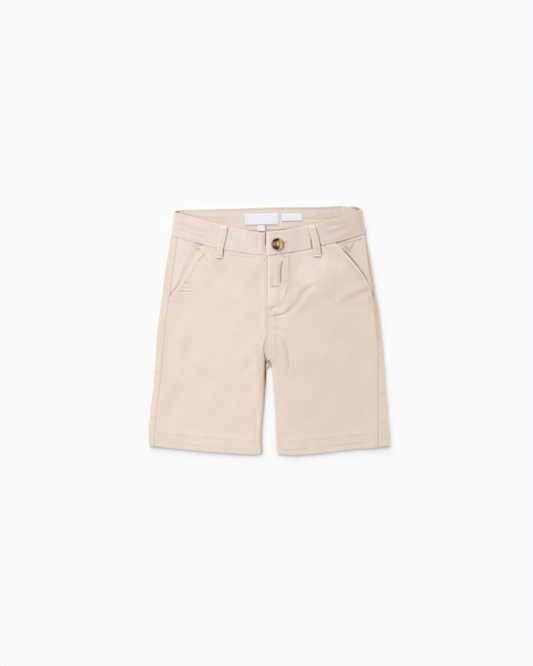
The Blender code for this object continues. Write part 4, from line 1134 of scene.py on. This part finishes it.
# painted highlights with wear at the loop's foot, top and edges
LOOP_FOOT_RUB_HIGHLIGHT = 0.6
LOOP_TOP_RUB_HIGHLIGHT = 0.5
LOOP_SIDE_RUB_HIGHLIGHT = 0.5
LOOP_SIDE_SHADES = (0.12, 0.2)  # along the edge on the wearer's right, and on the left
LOOP_FOOT_SHADE = 0.7
# The middle of each loop from its top to its foot, and its width at both ends.
Loop = namedtuple("Loop", "middle top_width foot_width")
RIGHT_LOOP = Loop(((-65.8, 151.2), (-68.4, 136), (-71, 122.4), (-72.6, 113.7), (-73, 104.2)), 10.8, 9.2)
LEFT_LOOP = Loop(((59.8, 152.2), (63, 141), (65.4, 132.5), (67.6, 122.4), (69.4, 106.4)), 10.4, 10.2)


def loop_surface(loop, half, down, across):
    """The points of a belt loop's face, and their shade, at shares of the way down it and across it."""
    middle = walk(loop.middle, 0.25)
    shares = np.linspace(0, 1, len(middle))
    width = loop.top_width + (loop.foot_width - loop.top_width) * down
    x = np.interp(down, shares, middle[:, 0]) + across * width
    y = np.interp(down, shares, middle[:, 1]) + 0 * across
    waist = half.waist(x)
    out = np.abs(across)
    slack = LOOP_SLACK * np.sin(math.pi * down)
    crown = LOOP_CROWN * (1 - (2 * across) ** 2) + 0.1 * wander(down * 46, 9, 12)
    under = front_height(x, y) + BAND_PROUD * ramp(y, waist - 9, waist + 4)
    tack = bump(down - LOOP_TACK, 0.022) * (out < 0.42)
    rows = bump(out - LOOP_ROWS, 0.05)
    ends = np.clip((down - 0.985) / 0.015, 0, 1) ** 2 + np.clip((0.02 - down) / 0.02, 0, 1) ** 2
    drop = LOOP_EDGE_DROP * round_off(0.5 - out, 0.1) + LOOP_END_DROP * ends
    drop = drop + LOOP_TACK_SINK * tack + LOOP_ROW_SINK * rows
    # worn light with painted highlights at both ends and beside the edges, with a painted shadow along each
    # edge and under the foot
    worn_and_highlit = LOOP_FOOT_RUB_HIGHLIGHT * bump(down - 0.95, 0.04) + LOOP_TOP_RUB_HIGHLIGHT * bump(down - 0.04, 0.04)
    worn_and_highlit = worn_and_highlit * (out < 0.44) + LOOP_SIDE_RUB_HIGHLIGHT * bump(out - 0.37, 0.05)
    shade_right, shade_left = LOOP_SIDE_SHADES
    shade = LOOP_STITCH_SHADE * (tack + rows) + LOOP_FOOT_SHADE * (down > 0.99) - worn_and_highlit
    shade = shade + shade_left * ramp(across, 0.44, 0.5) + shade_right * ramp(-across, 0.44, 0.5)
    return x, y, under + LAP_CLEAR + LOOP_WALL + slack + crown - drop, shade


def belt_loop(loop, half, material):
    down = steps((1, 0.25), (44, 0.6), (46, 0.25))[:, None]
    across = steps((1, 0.2), (9, 0.45), (10, 0.2))[None, :] - 0.5
    x, y, z, shade = loop_surface(loop, half, down, across)
    thickness = 1 - 0.3 * (np.abs(across) > 0.45)
    piece = cloth("belt_loop_" + half.name, x, y, z, LOOP_WALL, shade, material, thickness)


twill = washed_twill("belt_loop", "#E8DACD", "#E6D9C9", "#947C64", grain=8)
belt_loop(RIGHT_LOOP, RIGHT, twill)
belt_loop(LEFT_LOOP, LEFT, twill)

# ---------------------------------------------------------------- button
# A four-hole button, turned from cast polyester that imitates brown horn: dark streaks run into a clear
# amber side, and it is polished. It stands on a short shank of the thread that crosses its holes.
BUTTON_HOLE_RADIUS = 1.1
BUTTON_HOLE_OUT = 2.0
BUTTON_LOWER = 0.8
BUTTON_DOWN = 0.4  # it is pulled a little down from the middle of its solid
BUTTON_TILTED = 0.91  # how high it looks for its width, since it hangs a little tilted on its thread
BUTTON_RIM_WIDTH = 2.1
BUTTON_DISH_DEPTH = 1.1
BUTTON_DISH_WALL = 1.2
BUTTON_ROUNDING = 0.8
BUTTON_SIDES = 64
STREAK_SIZE = 5.0
SMOKE_SPOTS = ((-3.8, 5.9, 0.0), (-3.0, -6.2, 0.0))  # middles of the dark clouds in the horn
SMOKE_SHAPE = (0.45, 0.85, 1.0)  # a cloud is longer where its share is less
SMOKE_EDGE = (2.2, 3.3)
SMOKE_WAVER = 1.2
# Across the button the amber runs from one tint to the next between two places beside the middle, and the
# last run darkens the far rim as painted shade.
AMBER = "#9A775E"
AMBER_AND_SHADE_RUNS = ((-7.0, 3.0, "#D6AC78"), (4.5, 8.5, "#A07C54"))
SMOKE = "#47190F"
button_low, button_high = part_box("button")
button_middle = (button_low + button_high) / 2


def cast_horn(name):
    """Cast polyester like polished horn: two smoky clouds in amber that pales across it, under a gloss.

    Its far rim is darkened as painted shade.
    """
    material, add = new_material(name)
    place = add("TexCoord", {}, "Object")
    streaks = {"Vector": place, "Scale": 1 / (STREAK_SIZE * MM), "Detail": 2, "Distortion": 1.5}
    streak = add("TexNoise", streaks)
    away = []
    for spot in SMOKE_SPOTS:
        centre = [c + v * MM for c, v in zip(button_middle, spot)]
        off = add("VectorMath", {0: place, 1: centre}, operation="SUBTRACT")
        off = add("VectorMath", {0: off, 1: SMOKE_SHAPE}, operation="MULTIPLY")
        away.append(add("VectorMath", {0: off}, operation="LENGTH"))
    nearest = add("Math", {0: away[0], 1: away[1]}, operation="MINIMUM")
    blur = add("MapRange", {"Value": streak, "To Min": -SMOKE_WAVER * MM, "To Max": SMOKE_WAVER * MM})
    edge = add("Math", {0: nearest, 1: blur}, operation="ADD")
    across = add("SeparateXYZ", {"Vector": place}, "X")
    start, end = SMOKE_EDGE
    clear = add("MapRange", {"Value": edge, "From Min": start * MM, "From Max": end * MM})
    amber_and_shade = linear(AMBER)
    # the last run is painted shade on the rim away from the lamp
    for start, end, tint in AMBER_AND_SHADE_RUNS:
        span = {"From Min": button_middle.x + start * MM, "From Max": button_middle.x + end * MM}
        share = add("MapRange", {"Value": across, **span})
        amber_and_shade = add("Mix", {"Factor": share, COLOUR_A: amber_and_shade, COLOUR_B: linear(tint)}, data_type="RGBA")
    colour = add("Mix", {"Factor": clear, COLOUR_A: linear(SMOKE), COLOUR_B: amber_and_shade}, data_type="RGBA")
    gloss = {"Roughness": 0.28, "IOR": 1.5, "Specular IOR Level": 0.2}
    polish = {"Coat Weight": 0.12, "Coat Roughness": 0.1}
    shader = add("BsdfPrincipled", {"Base Color": colour, **gloss, **polish})
    add("OutputMaterial", {"Surface": shader})
    return material


def make_button(material):
    centre = button_middle.copy()
    centre.z -= BUTTON_LOWER * MM
    reach, depth = (button_high.x - button_low.x) / 2, button_high.z - button_low.z
    bpy.ops.object.select_all(action="DESELECT")
    bpy.ops.mesh.primitive_cylinder_add(vertices=BUTTON_SIDES, radius=reach, depth=depth, location=centre)
    button = bpy.context.object
    button.name = "horn_button"
    bpy.ops.object.transform_apply(location=True)
    bpy.ops.object.mode_set(mode="EDIT")
    bpy.ops.mesh.select_all(action="DESELECT")
    bpy.ops.mesh.select_mode(type="FACE")
    bpy.ops.object.mode_set(mode="OBJECT")
    for face in button.data.polygons:
        face.select = face.normal.z > 0.9
    bpy.ops.object.mode_set(mode="EDIT")
    bpy.ops.mesh.inset(thickness=BUTTON_RIM_WIDTH * MM)
    bpy.ops.mesh.inset(thickness=BUTTON_DISH_WALL * MM)
    bpy.ops.transform.translate(value=(0, 0, -BUTTON_DISH_DEPTH * MM))
    bpy.ops.object.mode_set(mode="OBJECT")
    out = BUTTON_HOLE_OUT * MM
    for number, (dx, dy) in enumerate(((-out, -out), (out, -out), (-out, out), (out, out))):
        bpy.ops.object.select_all(action="DESELECT")
        at = (centre.x + dx, centre.y + dy, centre.z)
        radius = BUTTON_HOLE_RADIUS * MM
        bpy.ops.mesh.primitive_cylinder_add(vertices=20, radius=radius, depth=4 * depth, location=at)
        drill = bpy.context.object
        only(button)
        hole = button.modifiers.new(f"hole_{number}", "BOOLEAN")
        hole.object = drill
        bpy.ops.object.modifier_apply(modifier=hole.name)
        bpy.data.objects.remove(drill)
    soften = button.modifiers.new("rounded", "BEVEL")
    soften.width = BUTTON_ROUNDING * MM
    soften.segments = 3
    soften.limit_method = "ANGLE"
    soften.angle_limit = math.radians(28)
    bpy.ops.object.modifier_apply(modifier=soften.name)
    bpy.ops.object.shade_smooth_by_angle(angle=math.radians(40))
    for vertex in button.data.vertices:
        vertex.co.y = centre.y - BUTTON_DOWN * MM + (vertex.co.y - centre.y) * BUTTON_TILTED
    button.data.materials.append(material)
    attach(button, "root")
    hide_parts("button")


make_button(cast_horn("cast_horn_polyester"))

# ---------------------------------------------------------------- labels
# Three white woven satin tapes are sewn to the inside of the back band: the maker's place, the size tab
# under it and the care tape. All are bare.
LABEL_WALL = 1.0
LABEL_BOW = 0.15
LABEL_EDGE_DROP = 0.25
SATIN_PITCH = 0.5
# Node, middle, shown size and tilt, and how much more of the tape is caught under the label above it.
Label = namedtuple("Label", "node x y width depth tilt caught")
LABELS = (
    Label("label_main", -11.8, 160.9, 48.5, 15.8, 1.2, 0.0),
    Label("label_size", -12.3, 147.9, 11.0, 8.4, 1.2, 2.0),
    Label("label_care", 32.0, 163.6, 29.5, 10.2, 0.8, 0.0),
)


def satin_tape(name):
    """Woven satin tape: bright white with a cool cast, smooth, with a faint lengthwise rib and gloss."""
    material, add = new_material(name)
    place = add("TexCoord", {}, "Object")
    ribs = {"Vector": place, "Scale": 1 / (SATIN_PITCH * MM) / WAVE_BANDS, "Distortion": 0.4}
    rib = add("TexWave", ribs, "Fac", bands_direction="Y")
    relief = add("Bump", {"Height": rib, "Strength": 0.3, "Distance": 0.05 * MM})
    tone = add("TexNoise", {"Vector": place, "Scale": 1 / (4 * MM), "Detail": 1})
    whites = {COLOUR_A: linear("#E7E6EE"), COLOUR_B: linear("#EBEAF2")}
    colour = add("Mix", {"Factor": tone, **whites}, data_type="RGBA")
    gloss = {"Roughness": 0.55, "IOR": 1.5, "Sheen Weight": 0.1}
    shader = add("BsdfPrincipled", {"Base Color": colour, "Normal": relief, **gloss})
    add("OutputMaterial", {"Surface": shader})
    return material


def label(size, material):
    u = steps((1, 0.25), (size.width - 1, 1.2), (size.width, 0.25))[None, :] - 0.5
    v = 0.5 - steps((size.depth, 0.7))[:, None]
    tilt = math.radians(size.tilt)
    x = size.x + u * size.width * math.cos(tilt) - v * size.depth * math.sin(tilt)
    y = size.y + u * size.width * math.sin(tilt) + v * size.depth * math.cos(tilt)
    bow = LABEL_BOW * np.sin(math.pi * (u + 0.5)) + 0.06 * wander(x, 14, 8)
    to_edge = np.minimum((0.5 - np.abs(u)) * size.width, (0.5 - np.abs(v)) * size.depth)
    z = BAND_WALL + LAP_CLEAR + LABEL_WALL + bow - LABEL_EDGE_DROP * bump(to_edge, 0.5)
    piece = cloth(size.node, x, y, z, LABEL_WALL, 0 * x, material)


tape = satin_tape("woven_satin_tape")
for size in LABELS:
    label(size, tape)

# ---------------------------------------------------------------- topstitching
# The hems, pocket mouths, fly, rise and back band are sewn in running stitches with core-spun polyester
# thread, a little deeper than the twill. Bar tacks and the buttonhole are dense satin stitches.
THREAD_WIDTH = 0.55
THREAD_HEIGHT = 0.3
PLY_PITCH = 0.45
NEEDLE_HOLE_SHADE = "#5A3F2E"
RING_POINTS = 6
HEM_STITCH = 3.0
BAND_STITCH = 1.8
TACK_PITCH = 0.55
LAP_ROW_X = -2.5
BUTTON_THREAD_OUT = 1.5
BUTTON_THREAD_WIDE = 0.55
# A stitch is a row of rings: the place along it, its share of the width, its lift and its painted shade,
# darkest at the needle holes.
RINGS = (
    (-0.5, 0.7, -0.12, 0.75),
    (-0.38, 0.95, 0, 0.45),
    (-0.22, 1, 0.06, 0),
    (0.22, 1, 0.06, 0),
    (0.38, 0.95, 0, 0.45),
    (0.5, 0.7, -0.12, 0.75),
)
FLY_ROUTE = (
    (27.2, 111), (27.3, 98), (26.8, 80), (25.6, 62), (23.6, 50.6), (19.3, 42.6), (13.5, 37.6), (9.1, 34.7),
    (-2, 32.8),
)
BUTTONHOLE = ((13, 127.4), (20, 128.3), (25.4, 129), (27, 128.2), (25.6, 126.9), (20, 126.3), (13, 125.4))


def core_spun_thread(name, colour):
    """Core-spun polyester thread: its two plies give a fine slanting rib and a low gloss.

    Each stitch takes painted shade towards its needle holes.
    """
    material, add = new_material(name)
    place = add("TexCoord", {}, "Object")
    plies = {"Vector": place, "Scale": 1 / (PLY_PITCH * MM) / WAVE_BANDS, "Distortion": 0.3}
    ply = add("TexWave", plies, "Fac", bands_direction="DIAGONAL")
    relief = add("Bump", {"Height": ply, "Strength": 0.4, "Distance": 0.06 * MM})
    # painted shade: the stitch darkens towards its needle holes
    hole = add("Attribute", {}, "Fac", attribute_name="crease")
    tints = {COLOUR_A: linear(colour), COLOUR_B: linear(NEEDLE_HOLE_SHADE)}
    tone = add("Mix", {"Factor": hole, **tints}, data_type="RGBA")
    gloss = {"Roughness": 0.7, "IOR": 1.5, "Specular IOR Level": 0.3}
    shader = add("BsdfPrincipled", {"Base Color": tone, "Normal": relief, **gloss})
    add("OutputMaterial", {"Surface": shader})
    return material


def on_face(points, face):
    """Points of a route, each at the height of a face."""
    return np.column_stack([points, face(points[:, 0], points[:, 1])[0]])


def running(route, pitch, face):
    """Both ends of each stitch along a route on a face."""
    line = on_face(walk(route, pitch), face)
    return line[:-1], line[1:]


def satin(route, width, face):
    """Both ends of each stitch across a route on a face."""
    line = walk(route, TACK_PITCH)
    heading = np.gradient(line, axis=0)
    heading = heading / np.linalg.norm(heading, axis=1, keepdims=True)
    out = np.stack([-heading[:, 1], heading[:, 0]], axis=-1) * width / 2
    return on_face(line - out, face), on_face(line + out, face)


def sew(name, seams, material):
    """One mesh of all the stitches whose ends are given, each a grain of thread between two needle holes."""
    start = np.concatenate([ends[0] for ends in seams])
    end = np.concatenate([ends[1] for ends in seams])
    along = end - start
    beside = np.stack([-along[:, 1], along[:, 0], 0 * along[:, 0]], axis=-1)
    beside = beside / np.linalg.norm(beside, axis=1, keepdims=True) * THREAD_WIDTH / 2
    turn = np.arange(RING_POINTS) * 2 * math.pi / RING_POINTS
    rings = []
    for place, width, lift, _ in RINGS:
        centre = (start + end) / 2 + place * along + (0, 0, lift)
        spread = beside[:, None, :] * (np.cos(turn) * width)[None, :, None]
        lifted = (np.sin(turn) * width * THREAD_HEIGHT / 2)[None, :, None] * np.array([0, 0, 1.0])
        rings.append(centre[:, None, :] + spread + lifted)
    corner = np.arange(len(start) * len(RINGS) * RING_POINTS).reshape(-1, len(RINGS), RING_POINTS)
    ahead = np.roll(corner, -1, axis=2)
    sides = np.stack([corner[:, :-1], ahead[:, :-1], ahead[:, 1:], corner[:, 1:]], axis=-1)
    faces = sides.reshape(-1, 4).tolist() + corner[:, 0, ::-1].tolist() + corner[:, -1].tolist()
    shade = np.broadcast_to(np.array(RINGS)[None, :, 3:], corner.shape)
    piece = from_mesh(name, np.stack(rings, axis=1), faces, shade, material)
    bpy.ops.object.shade_smooth_by_angle(angle=math.radians(60))
    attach(piece, "root")


def hem_route(half, start, end):
    """A route above a hem's bottom edge, with the slight waver of a seam guided by hand."""
    x = np.linspace(start, end, 24)
    return np.column_stack([x, half.hem(x) + HEM_STITCH_UP + 0.25 * wander(x, 37, 21)])


def mouth_route(half, top):
    """A route inside a pocket mouth, from near the waist seam to its foot."""
    y = np.linspace(top, 54, 12)
    return np.column_stack([half.mouth(y) + half.toward * MOUTH_STITCH_IN, y])


def rise_rows(rows, face):
    """The ends of the stitches in each row down the rise."""
    heights = np.linspace(RISE_STITCH_TOP, RISE_STITCH_FOOT, 3)
    return [running(np.column_stack([0 * heights + x, heights]), RISE_STITCH, face) for x in rows]


def back_band_face(x, y):
    top, bottom = (edge(x) for edge in back_band)
    return back_band_surface(x, y, (top - y) / (top - bottom))


def loop_tack(loop, half):
    """Both ends of each stitch of the bar tack across a belt loop's foot."""
    across = np.linspace(-0.44, 0.44, 19)
    downs = (LOOP_TACK - 0.016 + 0 * across, LOOP_TACK + 0.016 + 0 * across)
    return [np.column_stack(loop_surface(loop, half, down, across)[:3]) for down in downs]


def button_face(x, y):
    return (button_high.z / MM - BUTTON_LOWER - BUTTON_DISH_DEPTH + 0.1 + 0 * x,)


def button_thread(out):
    """The ends of the stitches that cross between two holes, beside the button's middle."""
    x, y = button_middle.x / MM, button_middle.y / MM + out - BUTTON_DOWN
    route = ((x, y - BUTTON_THREAD_WIDE), (x, y), (x, y + BUTTON_THREAD_WIDE))
    return satin(route, 2 * BUTTON_HOLE_OUT - 0.4, button_face)


thread = core_spun_thread("core_spun_polyester_thread", "#EADACA")
right_seams = [
    running(hem_route(RIGHT, -163, -18), HEM_STITCH, right_front_surface),
    running(mouth_route(RIGHT, 114), HEM_STITCH, right_front_surface),
    *rise_rows(RIGHT_RISE_ROWS, right_front_surface),
    satin(((-107.0, 119.0), (-104.6, 118.2), (-101.4, 118.2)), 1.4, right_front_surface),
    satin(((-131.0, 58.4), (-127.0, 58.0), (-123.4, 58.2)), 1.5, right_front_surface),
]
left_seams = [
    running(hem_route(LEFT, 18, 156), HEM_STITCH, left_front_surface),
    running(mouth_route(LEFT, 112), HEM_STITCH, left_front_surface),
    running(FLY_ROUTE, HEM_STITCH, left_front_surface),
    *rise_rows((LAP_ROW_X, *LEFT_RISE_ROWS), left_front_surface),
    satin(((-2.2, 32.8), (3.0, 33.6), (9.0, 34.9)), 1.5, left_front_surface),
    satin(((11.0, 37.6), (12.6, 37.9), (14.0, 38.2)), 1.2, left_front_surface),
    satin(((132.6, 57.4), (136.6, 58.6), (140.4, 60.2)), 1.5, left_front_surface),
]
band_x = np.linspace(-128, 126, 60)
band_top_route = np.column_stack([band_x, back_band[0](band_x) - TOP_STITCH_IN])
band_seams = [
    running(band_top_route, BAND_STITCH, back_band_face),
    satin(BUTTONHOLE, 1.3, left_band_surface),
    running(((24.6, 141.6), (24.4, 137.0), (24.1, 131.4)), BAND_STITCH, left_band_surface),
]
sew("thread_front_right", right_seams, thread)
sew("thread_front_left", left_seams, thread)
sew("thread_waistband", band_seams, thread)
sew("thread_button", [button_thread(out) for out in (-BUTTON_THREAD_OUT, BUTTON_THREAD_OUT)], thread)
sew("thread_belt_loops", [loop_tack(RIGHT_LOOP, RIGHT), loop_tack(LEFT_LOOP, LEFT)], thread)

# ---------------------------------------------------------------- surface, light and camera
# A plain white table, lit by an even white dome and a broad soft lamp from the upper left, and a camera
# straight above the shorts.
FLOOR_SIZE = 8.0
FLOOR_WHITE = "#F7F7F7"
BRIGHTNESS = 1.03
LAMP_SHARE = 0.45
LAMP_HEIGHT = 40.0
LAMP_FROM = 114.0
LAMP_SPREAD = 66.0
CAMERA_HEIGHT = 2000.0
VIEW_HEIGHT = 965.7
VIEW_CENTRE = (-4.64, -3.77)
SENSOR = 36.0

bpy.ops.object.select_all(action="DESELECT")
bpy.ops.mesh.primitive_plane_add(size=FLOOR_SIZE, location=(0, 0, -0.05 * MM))
table = bpy.context.object
table.name = "white_table"
table_white, add = new_material("matt_white_table")
matt = {"Base Color": linear(FLOOR_WHITE), "Roughness": 0.9, "Specular IOR Level": 0.1}
add("OutputMaterial", {"Surface": add("BsdfPrincipled", matt)})
table.data.materials.append(table_white)
table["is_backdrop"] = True

dome = bpy.data.worlds.new("white_dome")
dome.use_nodes = True
dome.node_tree.nodes["Background"].inputs["Color"].default_value = (1, 1, 1, 1)
dome.node_tree.nodes["Background"].inputs["Strength"].default_value = BRIGHTNESS * (1 - LAMP_SHARE)
bpy.context.scene.world = dome

up, round_to = math.radians(LAMP_HEIGHT), math.radians(LAMP_FROM)
lamp_light = bpy.data.lights.new("soft_lamp", "SUN")
lamp_light.energy = math.pi * BRIGHTNESS * LAMP_SHARE / math.sin(up)
lamp_light.angle = math.radians(LAMP_SPREAD)
lamp = bpy.data.objects.new("soft_lamp", lamp_light)
lamp.rotation_euler = (math.pi / 2 - up, 0, round_to - math.pi / 2 + math.pi)
bpy.context.collection.objects.link(lamp)

lens = bpy.data.cameras.new("camera")
lens.sensor_width = SENSOR
lens.lens = SENSOR * CAMERA_HEIGHT / VIEW_HEIGHT
camera = bpy.data.objects.new("camera", lens)
camera.location = (VIEW_CENTRE[0] * MM, VIEW_CENTRE[1] * MM, CAMERA_HEIGHT * MM)
bpy.context.collection.objects.link(camera)
bpy.context.scene.camera = camera
bpy.context.scene.view_settings.view_transform = "Standard"

visual_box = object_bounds()
[[list(corner) for corner in box] for box in (cad_box, visual_box)]
